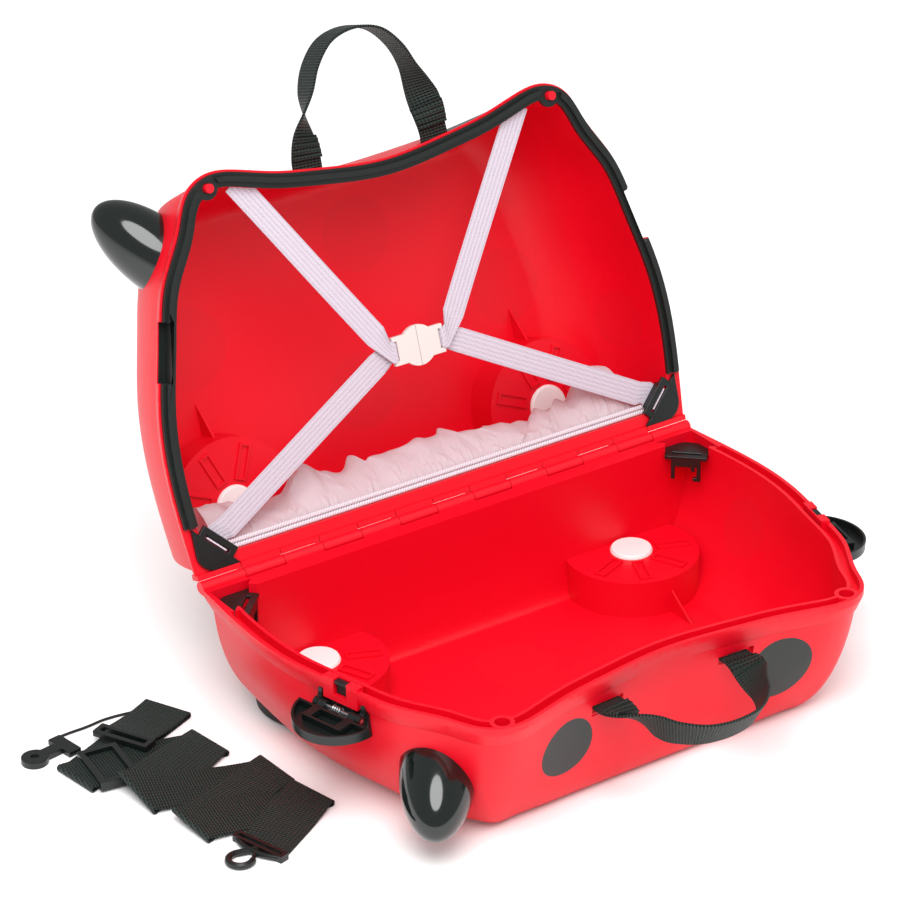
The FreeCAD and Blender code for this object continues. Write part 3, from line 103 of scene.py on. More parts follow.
# The gathered pocket's top, (x, height above its hem).
POCKET_TOP = ((-0.194, 0.024), (-0.180, 0.024), (-0.165, 0.015), (-0.140, 0.011), (-0.124, 0.012),
              (-0.110, 0.026), (-0.099, 0.028), (-0.088, 0.021), (-0.066, 0.015), (-0.040, 0.019),
              (0.003, 0.023), (0.040, 0.020), (0.078, 0.016), (0.116, 0.012), (0.134, 0.017), (0.147, 0.030),
              (0.160, 0.039), (0.174, 0.039), (0.184, 0.022), (0.194, 0.008))
POCKET_HALF = 0.194
POCKET_START = (0.0190, 0.0130)
POCKET_TUCK = 0.0045
POCKET_DEPTH = 0.036
POCKET_CREST = 0.62
POCKET_FRONT = 0.0122
POCKET_FOLDS = 46
POCKET_SEED = 5
POCKET_FACES = (560, 40)

# The two cords of the pocket's hem, (s, q) of each, with the length of one twist and a strand's radius.
HEM_CORDS = ((0.0195, 0.0098), (0.0233, 0.0104))
HEM_STRANDS = 2
HEM_LAY = 0.0046
HEM_STRAND = 0.0010
TWIST_STEPS = 14

# Tow strap on the floor: folds as shares of the rim's size, edge heights of each run in shares of the lift.
TOW_FOLDS = ((-1.267, 0.007), (-1.075, -0.065), (-1.519, 0.09), (-1.073, 0.139), (-1.422, 0.264),
             (-0.985, 0.345), (-1.37, 0.452), (-0.965, 0.487), (-1.236, 0.613))
TOW_LEVELS = (((1.8, 1.8), (1.0, 1.0), (1.0, 1.0)), ((0, 0), (0, 0), (0, 0)),
              ((1.0, 1.0), (1.0, 1.0), (0, 0)), ((1.0, 1.0), (0, 2.4), (0, 3.7)),
              ((1.0, 4.7), (0, 1.1), (0, 0)), ((1.0, 1.0), (0, 1.4), (0, 1.7)),
              ((1.0, 2.7), (0, 1.2), (0, 0)), ((1.0, 1.0), (0, 1.0), (0, 0)))
TOW_WIDTH = 0.040
TOW_THICKNESS = 0.0016
TOW_LIFT = 0.0036
TOW_STEPS = 14
FOLD_STEPS = 4

# The hook's bail, (out from the strap's end, across it), its height off the floor and its wire's radius.
HOOK_AIM = Vector((-0.963, -0.27, 0)).normalized()
HOOK_ARMS = ((0.0066, -0.0195), (0.0090, -0.0150), (0.0112, -0.0085), (0.0122, 0.0), (0.0112, 0.0085),
             (0.0090, 0.0150), (0.0066, 0.0195))
HOOK_RISE = 0.0028
HOOK_WIRE = 0.0021

# The key's cord on the floor, from the key to the strap.
KEY_CORD_WIDTH = 0.002
KEY_CORD = ((-0.3345, 0.1762, 0.0011), (-0.3200, 0.1778, 0.0011), (-0.3030, 0.1772, 0.0011),
            (-0.2840, 0.1800, 0.0011), (-0.2660, 0.17605, 0.0011))

# Stage: camera place, its yaw, pitch and roll in degrees, and the lamp.
CAMERA_PLACE = (-1.3430, -1.8653, 1.3875)
CAMERA_TURNS = (33.89, 27.27, -1.04)
SENSOR = 36
LAMP_PLACE = (-0.7, -0.9, 1.9)
LAMP_AIM = (0, 0, 0.1)
LAMP_SIZE = 1.6
FLOOR_HALF = 6


def base_point(x, s, q):
    return HINGE + Vector((x, -s, -q))


def lid_point(x, s, q):
    return HINGE + Vector((x, 0, 0)) + LID_UP * s + LID_OUT * q


class CaseLooks(bpy.types.PropertyGroup):
    """Sizes of the finish."""
    ease: FloatProperty(name="Moulded edge", description="Rounding of the moulded pieces' edges",
                        default=0.0005, unit="LENGTH")
    grain: FloatProperty(name="Shell grain", description="Size of the grain moulded into the shells",
                         default=0.0009, unit="LENGTH")
    rib: FloatProperty(name="Webbing rib", description="Distance between the webbing's ribs",
                       default=0.0022, unit="LENGTH")
    thread: FloatProperty(name="Elastic thread", default=0.0011, unit="LENGTH",
                          description="Distance between the threads of the elastic straps")
    columns: IntProperty(name="Horn columns", description="Faces round each horn", default=72)


class StageLooks(bpy.types.PropertyGroup):
    """Camera and light."""
    lens: FloatProperty(name="Lens", description="Focal length on a 36 mm sensor, in millimetres",
                        default=142.67)
    sky: FloatProperty(name="Sky", description="Strength of the even light from all round", default=1.0)
    shine: FloatProperty(name="Shine", description="Strength of the same light in reflections", default=0.4)
    key: FloatProperty(name="Key light", description="Power of the soft light overhead", default=45.0,
                       unit="POWER")


def linear(code):
    """A web colour as linear light."""
    parts = [int(code[i:i + 2], 16) / 255 for i in (1, 3, 5)]
    return [c / 12.92 if c <= 0.04045 else ((c + 0.055) / 1.055) ** 2.4 for c in parts] + [1.0]


def put(tree, kind, inputs, **settings):
    """A shader node with its settings, values and links."""
    node = tree.nodes.new("ShaderNode" + kind)
    for name, value in settings.items():
        setattr(node, name, value)
    for socket, value in inputs.items():
        if isinstance(value, bpy.types.NodeSocket):
            tree.links.new(value, node.inputs[socket])
        else:
            node.inputs[socket].default_value = value
    return node


def surface(name, colour, roughness, **values):
    """A material with plain shader values, its tree and its shader."""
    material = bpy.data.materials.new(name)
    material.use_nodes = True
    tree = material.node_tree
    shader = tree.nodes["Principled BSDF"]
    shader.inputs["Base Color"].default_value = linear(colour)
    shader.inputs["Roughness"].default_value = roughness
    for socket, value in values.items():
        shader.inputs[socket.replace("_", " ")].default_value = value
    return material, tree, shader


def grained(tree, shader, size, height):
    """Moulded grain of a real size on a surface."""
    coords = put(tree, "TexCoord", {})
    grain = put(tree, "TexNoise", {"Vector": coords.outputs["Object"], "Scale": 1 / size, "Detail": 2.0})
    bump = put(tree, "Bump", {"Height": grain.outputs[0], "Distance": height, "Strength": 1.0})
    tree.links.new(bump.outputs["Normal"], shader.inputs["Normal"])
    return coords


def waves(tree, value, pitch):
    """Sine waves of a real pitch along a coordinate in metres."""
    phase = put(tree, "Math", {0: value, 1: math.tau / pitch}, operation="MULTIPLY")
    return put(tree, "Math", {0: phase.outputs[0]}, operation="SINE").outputs[0]


def woven(tree, shader, across, along, height, dark, light):
    """Threads of real pitches along and across a band, from its own run in metres, with painted shade: colour
    goes from dark in the grooves to light on the raised threads.
    """
    run = put(tree, "UVMap", {}, uv_map="run")
    split = put(tree, "SeparateXYZ", {"Vector": run.outputs["UV"]})
    heights = [waves(tree, split.outputs[axis], pitch) for axis, pitch in (("X", across), ("Y", along))]
    knots = put(tree, "Math", {0: heights[0], 1: heights[1]}, operation="MULTIPLY")
    weft = put(tree, "Math", {0: knots.outputs[0], 1: 0.7, 2: heights[1]}, operation="MULTIPLY_ADD")
    bump = put(tree, "Bump", {"Height": weft.outputs[0], "Distance": height, "Strength": 1.0})
    # Painted shade and highlight: the colour follows the threads' height, dark in the grooves and light on the
    # crests.
    rib_painted_shade = put(tree, "MapRange", {"Value": weft.outputs[0], "From Min": -1.5, "From Max": 1.5})
    mix = put(tree, "Mix", {"Factor": rib_painted_shade.outputs[0], "A": linear(dark), "B": linear(light)}, data_type="RGBA")
    tree.links.new(mix.outputs["Result"], shader.inputs["Base Color"])
    tree.links.new(bump.outputs["Normal"], shader.inputs["Normal"])


def red_shell(half, grain):
    """Red polypropylene with a fine moulded grain, a broad soft shine and plain printed spots."""
    red = "#DB001C"
    material, tree, shader = surface("red_polypropylene_" + half.__name__, red, 0.42, Specular_IOR_Level=0.35)
    coords = grained(tree, shader, grain, 0.00004)
    mask = None
    for x, s, q, radius in SPOTS:
        apart = put(tree, "VectorMath", {0: coords.outputs["Object"], 1: half(x, s, q)}, operation="DISTANCE")
        inside = put(tree, "Math", {0: apart.outputs["Value"], 1: radius}, operation="LESS_THAN").outputs[0]
        mask = put(tree, "Math", {0: mask, 1: inside}, operation="MAXIMUM").outputs[0] if mask else inside
    inner = put(tree, "Attribute", {}, attribute_name="inside")
    show = put(tree, "MapRange", {"Value": inner.outputs["Fac"], "To Min": 1.0, "To Max": 0.05})
    share = put(tree, "Math", {0: mask, 1: show.outputs[0]}, operation="MULTIPLY")
    mix = put(tree, "Mix", {"Factor": share.outputs[0], "A": linear(red), "B": linear("#262C2A")},
              data_type="RGBA")
    tree.links.new(mix.outputs["Result"], shader.inputs["Base Color"])
    return material


def make_materials(looks):
    """The finishes, named for the material slots of the part."""
    made = {"red_shell_base": red_shell(base_point, looks.grain),
            "red_shell_lid": red_shell(lid_point, looks.grain)}
    # Extruded rubber: near black, with a soft sheen along its bead.
    made["seal_rubber"] = surface("black_seal_rubber", "#141A18", 0.38)[0]
    # Polished ABS: sharp, bright reflections on a deep black.
    made["horn_plastic"] = surface("gloss_black_abs", "#0B1311", 0.12, Coat_Weight=0.4, Coat_Roughness=0.04)[0]
    # Moulded nylon: a satin black that breaks up reflections a little.
    black, tree, shader = surface("black_nylon", "#101615", 0.33)
    grained(tree, shader, 0.0006, 0.00003)
    made["black_plastic"] = black
    # Moulded polypropylene: a dull dark grey.
    made["hub_plastic"] = surface("dark_hub_polypropylene", "#1A201F", 0.45)[0]
    # Moulded tyre rubber: matt, with hardly any shine.
    tyre, tree, shader = surface("tyre_rubber", "#1B1E1D", 0.7)
    grained(tree, shader, 0.0008, 0.00006)
    made["tyre"] = tyre
    # Moulded acetal: smooth and slightly shiny, white on the caps and warmer on the clip.
    made["white_plastic"] = surface("white_acetal", "#E8E0E0", 0.3)[0]
    made["ivory_plastic"] = surface("ivory_acetal", "#CFC6C2", 0.35)[0]
    # Drawn steel wire and rod: a bright, slightly blurred metal.
    made["steel"] = surface("bright_steel", "#B9BCBD", 0.28, Metallic=1.0)[0]
    # Woven polypropylene: ribs across the band, drawn coarser than real threads so that they show, with painted
    # shade in the grooves and painted highlights on the ribs.
    webbing, tree, shader = surface("black_polypropylene_webbing", "#0C1311", 0.5, Specular_IOR_Level=0.3)
    woven(tree, shader, 0.0030, looks.rib, 0.0005, "#040807", "#323F3A")
    made["black_webbing"] = webbing
    # Woven elastic: a matt lilac white with fine lines along the band, drawn coarse enough to show, the lines
    # made of bumps and painted shade between the threads.
    strap, tree, shader = surface("white_elastic", "#DDD3E2", 0.75, Sheen_Weight=0.1)
    woven(tree, shader, looks.thread * 3, looks.thread, 0.00012, "#B3A7B7", "#CFC6CF")
    made["strap_elastic"] = strap
    # Thin nylon: lets light and some of the red through, least where it is gathered.
    cloth, tree, shader = surface("thin_white_nylon", "#DDD2D8", 0.65, Sheen_Weight=0.1)
    grained(tree, shader, 0.0005, 0.00002)
    gather = put(tree, "Attribute", {}, attribute_name="gather")
    cover = put(tree, "MapRange", {"Value": gather.outputs["Fac"], "To Min": 0.76, "To Max": 1.0})
    tree.links.new(cover.outputs[0], shader.inputs["Alpha"])
    back = put(tree, "BsdfTranslucent", {"Color": linear("#DDD2D8")})
    thin = put(tree, "MixShader", {0: 0.35, 1: shader.outputs[0], 2: back.outputs[0]})
    tree.links.new(thin.outputs[0], tree.nodes["Material Output"].inputs["Surface"])
    made["pocket_cloth"] = cloth
    # Corded elastic: matt, and a little greyer than the cloth.
    made["hem_elastic"] = surface("white_corded_elastic", "#CFC5CC", 0.7)[0]
    # Braided cord: a dry, matt black.
    made["key_cord"] = surface("black_braided_cord", "#161B1A", 0.8)[0]
    return made


finishes = {}


def finished(name, bm, body, nodes, slot, smooth=32, finish=None):
    """The mesh as an object that moves with its body and stands for its CAD nodes."""
    mesh = bpy.data.meshes.new(name)
    bmesh.ops.recalc_face_normals(bm, faces=bm.faces)
    bm.to_mesh(mesh)
    bm.free()
    mesh.shade_smooth()
    mesh.set_sharp_from_angle(angle=math.radians(smooth))
    mesh.materials.append(finishes[finish or slot])
    obj = bpy.data.objects.new(name, mesh)
    bpy.context.scene.collection.objects.link(obj)
    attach(obj, body)
    if nodes:
        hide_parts(*nodes)
    return obj


def welded(node):
    """A copy of a CAD node's mesh with its points merged and flat faces joined."""
    bm = bmesh.new()
    bm.from_mesh(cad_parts[node].data)
    bmesh.ops.remove_doubles(bm, verts=bm.verts, dist=0.00001)
    bmesh.ops.dissolve_limit(bm, angle_limit=math.radians(0.4), verts=bm.verts, edges=bm.edges)
    return bm


def dressed(node, body, slot, ease, finish=None):
    """A moulded piece: the CAD form with its sharp edges eased."""
    bm = welded(node)
    if ease:
        sharp = [e for e in bm.edges if len(e.link_faces) == 2 and e.calc_face_angle(0) > math.radians(35)]
        bmesh.ops.bevel(bm, geom=sharp, offset=ease, offset_type="OFFSET", segments=2, profile=0.5,
                        affect="EDGES", clamp_overlap=True, material=-1)
    obj = finished(node + "_look", bm, body, (node,), slot, finish=finish)
    normals = obj.modifiers.new("normals", "WEIGHTED_NORMAL")
    normals.keep_sharp = True
    return obj


def sweep(rings, runs):
    """A closed skin through rings of points, with each point's place on the band as its UV."""
    bm = bmesh.new()
    loop = [bm.verts.new(p) for p in rings[0]]
    edges = [bm.edges.new((loop[i - 1], loop[i])) for i in range(len(loop))]
    first = list(edges)
    places = dict(zip(loop, runs[0]))
    for ring, run in zip(rings[1:], runs[1:]):
        order = {tuple(v.co): i for i, v in enumerate(loop)}
        made = bmesh.ops.extrude_edge_only(bm, edges=edges)["geom"]
        loop = sorted((v for v in made if isinstance(v, bmesh.types.BMVert)), key=lambda v: order[tuple(v.co)])
        edges = [bm.edges.get((loop[i - 1], loop[i])) for i in range(len(loop))]
        places.update(zip(loop, run))
        for vert, point in zip(loop, ring):
            vert.co = point
    for rim in (first, edges):
        bmesh.ops.contextual_create(bm, geom=rim)
    lay_run(bm, lambda vert: places[vert])
    return bm


def lay_run(bm, place):
    """Metres across and along a band as its UV."""
    layer = bm.loops.layers.uv.new("run")
    for face in bm.faces:
        for loop in face.loops:
            loop[layer].uv = place(loop.vert)


def band(rows, columns):
    """A strip of webbing through rows of (edge, edge, way of its thickness, run at each edge, thickness)."""
    rings = []
    runs = []
    for first, second, way, begin, end, thickness in rows:
        width = (second - first).length
        inset = thickness / 3 / width
        shares = [inset + (1 - 2 * inset) * i / columns for i in range(columns + 1)]
        skin = way * (thickness / 2)
        points = [(t, 1) for t in shares] + [(1, 0)] + [(t, -1) for t in reversed(shares)] + [(0, 0)]
        rings.append([first.lerp(second, t) + skin * side for t, side in points])
        runs.append([(t * width, begin + (end - begin) * t) for t, _ in points])
    return sweep(rings, runs)


def joined(parts):
    """Several skins as one mesh."""
    whole = bmesh.new()
    for part in parts:
        mesh = bpy.data.meshes.new("part")
        part.to_mesh(mesh)
        part.free()
        whole.from_mesh(mesh)
        bpy.data.meshes.remove(mesh)
    return whole


def curve_through(points, steps):
    """A smooth row of points through the given ones."""
    ends = [points[0] * 2 - points[1]] + list(points) + [points[-1] * 2 - points[-2]]
    row = []
    for a, b, c, d in zip(ends, ends[1:], ends[2:], ends[3:]):
        for step in range(steps):
            t = step / steps
            row.append(0.5 * (2 * b + (c - a) * t + (2 * a - 5 * b + 4 * c - d) * t ** 2
                              + (3 * b - a - 3 * c + d) * t ** 3))
    return row + [points[-1]]


def crease(folds, index):
    """Half the crease across the webbing at a fold or an end."""
    before = folds[index] - folds[max(index - 1, 0)]
    after = folds[min(index + 1, len(folds) - 1)] - folds[index]
    along = (before if index else after).normalized()
    if index == 0:
        line = Vector((-along.y, along.x, 0))
    elif index == len(folds) - 1:
        line = Vector((-HOOK_AIM.y, HOOK_AIM.x, 0))
    else:
        line = (along + after.normalized()).normalized()
    line = line * (TOW_WIDTH / 2 / along.cross(line).length)
    return line if line.y < 0 else -line


def fold_rows(spot, line, out, lows, along, begin, outer):
    """Rows of webbing round one fold, from its lower run to its upper one."""
    radius = TOW_LIFT / 2
    ends = [spot + line * side + Vector((0, 0, low + TOW_THICKNESS / 2 + radius))
            for side, low in zip((1, -1), lows)]
    rows = []
    for step in range(-FOLD_STEPS, FOLD_STEPS + 1):
        turn = math.pi / 2 * step / FOLD_STEPS
        aim = out * math.cos(turn) + Vector((0, 0, math.sin(turn)))
        run = begin + math.pi * radius * (step + FOLD_STEPS) / (2 * FOLD_STEPS)
        reach = line.dot(along)
        rows.append((ends[0] + aim * radius, ends[1] + aim * radius, aim * outer, run + reach, run - reach,
                     TOW_THICKNESS))
    return rows


def tow_rows():
    """Rows of the folded tow strap: each run lies on the one before it."""
    folds = [Vector((x * RIM_HALF, HINGE.y - y * RIM_HEIGHT, 0)) for x, y in TOW_FOLDS]
    rows = []
    begin = 0
    lows = None
    for index, levels in enumerate(TOW_LEVELS):
        start, stop = folds[index], folds[index + 1]
        lines = [crease(folds, index), crease(folds, index + 1)]
        along = (stop - start).normalized()
        way = Vector((0, 0, 1 if index % 2 else -1))
        if index:
            out = Vector((lines[0].y, -lines[0].x, 0)).normalized()
            out = out if out.dot(start - folds[index - 1]) > 0 else -out
            turned = fold_rows(start, lines[0], out, lows if index > 1 else (0, 0), along, begin,
                               1 if index % 2 and index > 1 else -1)
            if index == 1:
                runs = [row[3:] for row in turned]
                turned = [row[:3] + rest for row, rest in zip(reversed(turned), runs)]
            rows += turned
            begin += math.pi * TOW_LIFT / 2
        for step in range(TOW_STEPS + 1):
            t = step / TOW_STEPS
            shares = ((2 * t - 1) * (t - 1), 4 * t * (1 - t), t * (2 * t - 1))
            heights = [max(0, sum(share * level[edge] for share, level in zip(shares, levels)))
                       for edge in (0, 1)]
            line = lines[0].lerp(lines[1], t)
            spot = start.lerp(stop, t)
            edges = [spot + line * side + Vector((0, 0, height * TOW_LIFT + TOW_THICKNESS / 2))
                     for side, height in zip((1, -1), heights)]
            run = begin + (stop - start).length * t
            reach = line.dot(along)
            rows.append((edges[0], edges[1], way, run + reach, run - reach, TOW_THICKNESS))
        begin += (stop - start).length
        lows = [level * TOW_LIFT for level in levels[-1]]
    return rows, begin


class CASE_OT_shells(bpy.types.Operator):
    """Two moulded shells on their hinge pin"""
    bl_idname = "case.shells"
    bl_label = "Shells"

    def execute(self, context):
        for half, place in (("base", base_point), ("lid", lid_point)):
            obj = dressed(half + "_shell", half, "red_shell", context.scene.case_looks.ease,
                          finish="red_shell_" + half)
            middle = place(0, 0.135, 0.03)
            mark = obj.data.attributes.new("inside", "FLOAT", "FACE")
            for face in obj.data.polygons:
                mark.data[face.index].value = float((middle - face.center).dot(face.normal) > 0)
        dressed("hinge_pin", "base", "steel", 0)
        return {"FINISHED"}


class CASE_OT_seal(bpy.types.Operator):
    """Rubber seal round the lid's rim"""
    bl_idname = "case.seal"
    bl_label = "Seal"

    def execute(self, context):
        dressed("lid_seal", "lid", "seal_rubber", context.scene.case_looks.ease)
        return {"FINISHED"}


def horn_rings(half, place, columns):
    """Rings of a bullet-shaped grip; the first follows the shell that it sits on."""
    bm = bmesh.new()
    bm.from_mesh(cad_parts[half + "_shell"].data)
    shell = BVHTree.FromBMesh(bm)
    bm.free()
    start = place(*HORN_START)
    aim = (place(*HORN_AIM) - place(0, 0, 0)).normalized()
    side = aim.orthogonal().normalized()
    other = aim.cross(side)
    ways = [side * math.cos(math.tau * i / columns) + other * math.sin(math.tau * i / columns)
            for i in range(columns)]
    feet = []
    for way in ways:
        edge = start + way * HORN_RADIUS
        hit = shell.ray_cast(edge + aim * 0.05, -aim)[0]
        feet.append((hit - edge).dot(aim) - HORN_SINK)
    rings = []
    for step in range(HORN_STEPS + 1):
        t = step / HORN_STEPS
        ring = []
        for way, foot in zip(ways, feet):
            height = foot + (HORN_LENGTH - foot) * math.sin(t * math.pi / 2)
            width = HORN_RADIUS * math.sqrt(max(0, 1 - (max(0, height) / HORN_LENGTH) ** 2))
            ring.append(start + aim * height + way * max(width, 0.0001))
        rings.append(ring)
    return rings


class CASE_OT_horns(bpy.types.Operator):
    """Two bullet-shaped grips, seated on the shells"""
    bl_idname = "case.horns"
    bl_label = "Horns"

    def execute(self, context):
        columns = context.scene.case_looks.columns
        for half, place in (("base", base_point), ("lid", lid_point)):
            rings = horn_rings(half, place, columns)
            runs = [[(i, j) for i in range(columns)] for j in range(len(rings))]
            finished(half + "_horn_grip", sweep(rings, runs), half, (half + "_horn",), "horn_plastic",
                     smooth=50)
        return {"FINISHED"}


class CASE_OT_wheels(bpy.types.Operator):
    """Four wheels with their axles and caps"""
    bl_idname = "case.wheels"
    bl_label = "Wheels"

    def execute(self, context):
        ease = context.scene.case_looks.ease
        for half in ("base", "lid"):
            for end in ("front", "rear"):
                name = "%s_%s_" % (half, end)
                dressed(name + "hub", name + "wheel", "hub_plastic", ease)
                dressed(name + "tyre", name + "wheel", "tyre", ease)
                dressed(name + "axle", half, "steel", ease)
                dressed(name + "axle_cap", half, "white_plastic", ease)
        return {"FINISHED"}


class CASE_OT_latches(bpy.types.Operator):
    """Two sprung latches on the base's ends"""
    bl_idname = "case.latches"
    bl_label = "Latches"

    def execute(self, context):
        ease = context.scene.case_looks.ease
        for end in ("front", "rear"):
            for piece, body, slot in (("mount", "base", "black_plastic"), ("keeper", "base", "black_plastic"),
                                      ("pin", "base", "steel"), ("spring", "base", "steel"),
                                      ("lever", end + "_latch", "black_plastic")):
                dressed("%s_latch_%s" % (end, piece), body, slot, 0 if slot == "steel" else ease)
        return {"FINISHED"}


def folded_over(row, outer):
    """A row of the webbing's end where it is folded back and sewn down, with its stitched ridges."""
    first, second, way, begin, end, thickness = row
    ridge = 1 + 0.3 * math.sin(begin * math.tau / STITCH_PITCH)
    spread = (second - first) * 0.02
    lift = way * (outer * (thickness + thickness * ridge) / 2)
    return first + lift - spread, second + lift + spread, way, begin, end, thickness * ridge


class CASE_OT_handles(bpy.types.Operator):
    """Two webbing carry handles"""
    bl_idname = "case.handles"
    bl_label = "Handles"

    def execute(self, context):
        for half, place, rise, droop, lean, outer in (
                ("base", base_point, 0.074, 0.004, math.radians(32), -1), ("lid", lid_point, 0.100, 0, 0, 1)):
            stations = [(-x, up, turn) for x, up, turn in HANDLE_SHARES]
            stations += [(x, up, 2 - turn) for x, up, turn in reversed(HANDLE_SHARES[:-1])]
            path = curve_through([Vector(s) for s in stations], HANDLE_STEPS)
            spots = [place(HANDLE_MIDDLE + HANDLE_HALF_SPAN * x, HANDLE_SLOT[0] + rise * up,
                           HANDLE_SLOT[1] + droop * up ** 2) for x, up, _ in path]
            origin = place(0, 0, 0)
            rows = []
            run = 0
            for index, spot in enumerate(spots):
                before, after = spots[max(index - 1, 0)], spots[min(index + 1, len(spots) - 1)]
                along = (after - before).normalized()
                turn = path[index][2] * math.pi / 2
                across = place(math.cos(turn), -math.sin(turn) * math.sin(lean),
                               math.sin(turn) * math.cos(lean)) - origin
                across = (across - along * across.dot(along)).normalized()
                run += (spot - before).length
                half_width = across * (HANDLE_WIDTH / 2)
                rows.append((spot - half_width, spot + half_width, across.cross(along), run, run,
                             HANDLE_THICKNESS))
            sewn = [index for index, station in enumerate(path)
                    if SEWN_SHARES[0] < station[1] < SEWN_SHARES[1]]
            ends = ([i for i in sewn if i < len(path) / 2], [i for i in sewn if i > len(path) / 2])
            folds = [band([folded_over(rows[i], outer) for i in end], 4) for end in ends]
            obj = finished(half + "_handle_band", joined([band(rows, 4)] + folds), half + "_handle",
                           (half + "_handle",), "black_webbing")
        return {"FINISHED"}


def corner_spot(side, out, q):
    """A place on the diagonal of a hinge corner of the lid."""
    reach = out / math.sqrt(2)
    return side * (CORNER_TIP[0] - reach), CORNER_TIP[1] + reach, q


def strap_rows(stations):
    """Rows of a packing strap through stations of (x, s, q, way across it in x and s, width)."""
    rows = []
    run = 0
    for index, (x, s, q, across, width) in enumerate(stations):
        spot = lid_point(x, s, q)
        before = lid_point(*stations[max(index - 1, 0)][:3])
        after = lid_point(*stations[min(index + 1, len(stations) - 1)][:3])
        wide = (Vector((across[0], 0, 0)) + LID_UP * across[1]).normalized() * (width / 2)
        run += (spot - before).length
        way = wide.cross(after - before).normalized()
        rows.append((spot - wide, spot + wide, way, run, run, STRAP_THICKNESS))
    return rows, run


def upper_strap(side):
    """From the front of the clip's tab up into the lid's rim."""
    low, high = UPPER_LINE
    aim = Vector((high[0] - low[0], high[1] - low[1])).normalized()
    across = (side * aim.y, -aim.x)
    stations = [(side * x, s, q, (0, -1), width) for x, s, q, width in UPPER_CLIP]
    for step in range(STRAP_STEPS + 1):
        t = step / STRAP_STEPS
        stations.append((side * (low[0] + (high[0] - low[0]) * t), low[1] + (high[1] - low[1]) * t,
                         UPPER_DEPTH - UPPER_DIP * (1 - t) ** 6, across, STRAP_WIDTH))
    return strap_rows(stations)


def lower_strap(side):
    """From behind the clip's tab, under the corner piece's bar and up through its slot."""
    low, high = LOWER_LINE
    aim = Vector((high[0] - low[0], high[1] - low[1])).normalized()
    across = (side * aim.y, -aim.x)
    stations = [(side * x, s, q, (0, -1), width) for x, s, q, width in LOWER_CLIP]
    for step in range(STRAP_STEPS + 1):
        t = step / STRAP_STEPS
        stations.append((side * (low[0] + (high[0] - low[0]) * t), low[1] + (high[1] - low[1]) * t,
                         LOWER_DEPTH, across, STRAP_WIDTH))
    for out, q in CORNER_WAY:
        stations.append((*corner_spot(side, out, q), (-side, -1), STRAP_WIDTH))
    return strap_rows(stations)


class CASE_OT_packing(bpy.types.Operator):
    """Corner pieces, elastic packing straps and their clip"""
    bl_idname = "case.packing"
    bl_label = "Packing straps"

    def execute(self, context):
        ease = context.scene.case_looks.ease
        for end, side in (("front", -1), ("rear", 1)):
            dressed("base_%s_corner" % end, "base", "black_plastic", ease)
            dressed("lid_%s_corner" % end, "lid", "black_plastic", ease)
            dressed(end + "_buckle_half", "lid", "ivory_plastic", ease)
            for strap, held_by, (rows, run) in (("upper", "lid_shell", upper_strap(side)),
                                                ("lower", "lid_%s_corner" % end, lower_strap(side))):
                node = "%s_%s_strap" % (end, strap)
                obj = finished(node + "_band", band(rows, 6), "lid", (node,), "strap_elastic")
        return {"FINISHED"}


def pocket_folds(count, seed):
    """Slanting folds of the pocket's cloth: place along the hem, slant, width and depth of each."""
    chance = random.Random(seed)
    return [(chance.uniform(-0.19, 0.19), chance.uniform(-0.04, 0.04), chance.uniform(0.003, 0.013),
             chance.uniform(-0.006, 0.006)) for _ in range(count)]


def pocket_top(x):
    """Height of the pocket above its hem at a place along it."""
    for (x0, h0), (x1, h1) in zip(POCKET_TOP, POCKET_TOP[1:]):
        if x <= x1:
            t = max(0, (x - x0) / (x1 - x0))
            return h0 + (h1 - h0) * t * t * (3 - 2 * t)
    return POCKET_TOP[-1][1]


def pocket_point(x, back, folds):
    """A point of the gathered pocket: x along the hem, back from 0 at the hem to 1 at the wall behind."""
    up = math.sin(min(1, back / POCKET_CREST) * math.pi / 2) ** 0.8
    down = max(0, back - POCKET_CREST) / (1 - POCKET_CREST)
    s = POCKET_START[0] + (pocket_top(x) + POCKET_TUCK) * up * (1 - 0.75 * down ** 1.5)
    q = POCKET_START[1] + POCKET_DEPTH * back
    fold = sum(depth * math.exp(-abs((x - place - slant * back) / width) ** 1.4)
               for place, slant, width, depth in folds)
    loose = min(1, back * 3) * (1 - down)
    ruffle = math.exp(-back * 6) * (0.0045 * noise.noise(Vector((x * 150, 1.3, back * 7)))
                                    + 0.0020 * noise.noise(Vector((x * 420, 4.1, back * 16))))
    s += fold * 0.7 * loose + ruffle
    q += fold * loose - abs(ruffle) + 0.004 * noise.noise(Vector((x * 60, 7.7, back * 3))) * loose
    return lid_point(x, s, max(q, POCKET_FRONT))


def round_curve(name, radius):
    """An empty round curve."""
    shape = bpy.data.curves.new(name, "CURVE")
    shape.dimensions = "3D"
    shape.bevel_depth = radius
    shape.bevel_resolution = 4
    return shape


def rope(name, line, strands, lay, radius):
    """Twisted strands round a straight line, as one curve object."""
    shape = round_curve(name, radius)
    start, stop, side, other = line
    steps = int((stop - start).length / lay * TWIST_STEPS)
    for strand in range(strands):
        spline = shape.splines.new("POLY")
        spline.points.add(steps)
        for index, point in enumerate(spline.points):
            turn = math.tau * ((stop - start).length / lay * index / steps + strand / strands)
            place = start.lerp(stop, index / steps) + (side * math.cos(turn) + other * math.sin(turn)) * radius
            point.co = (*place, 1)
    return shape


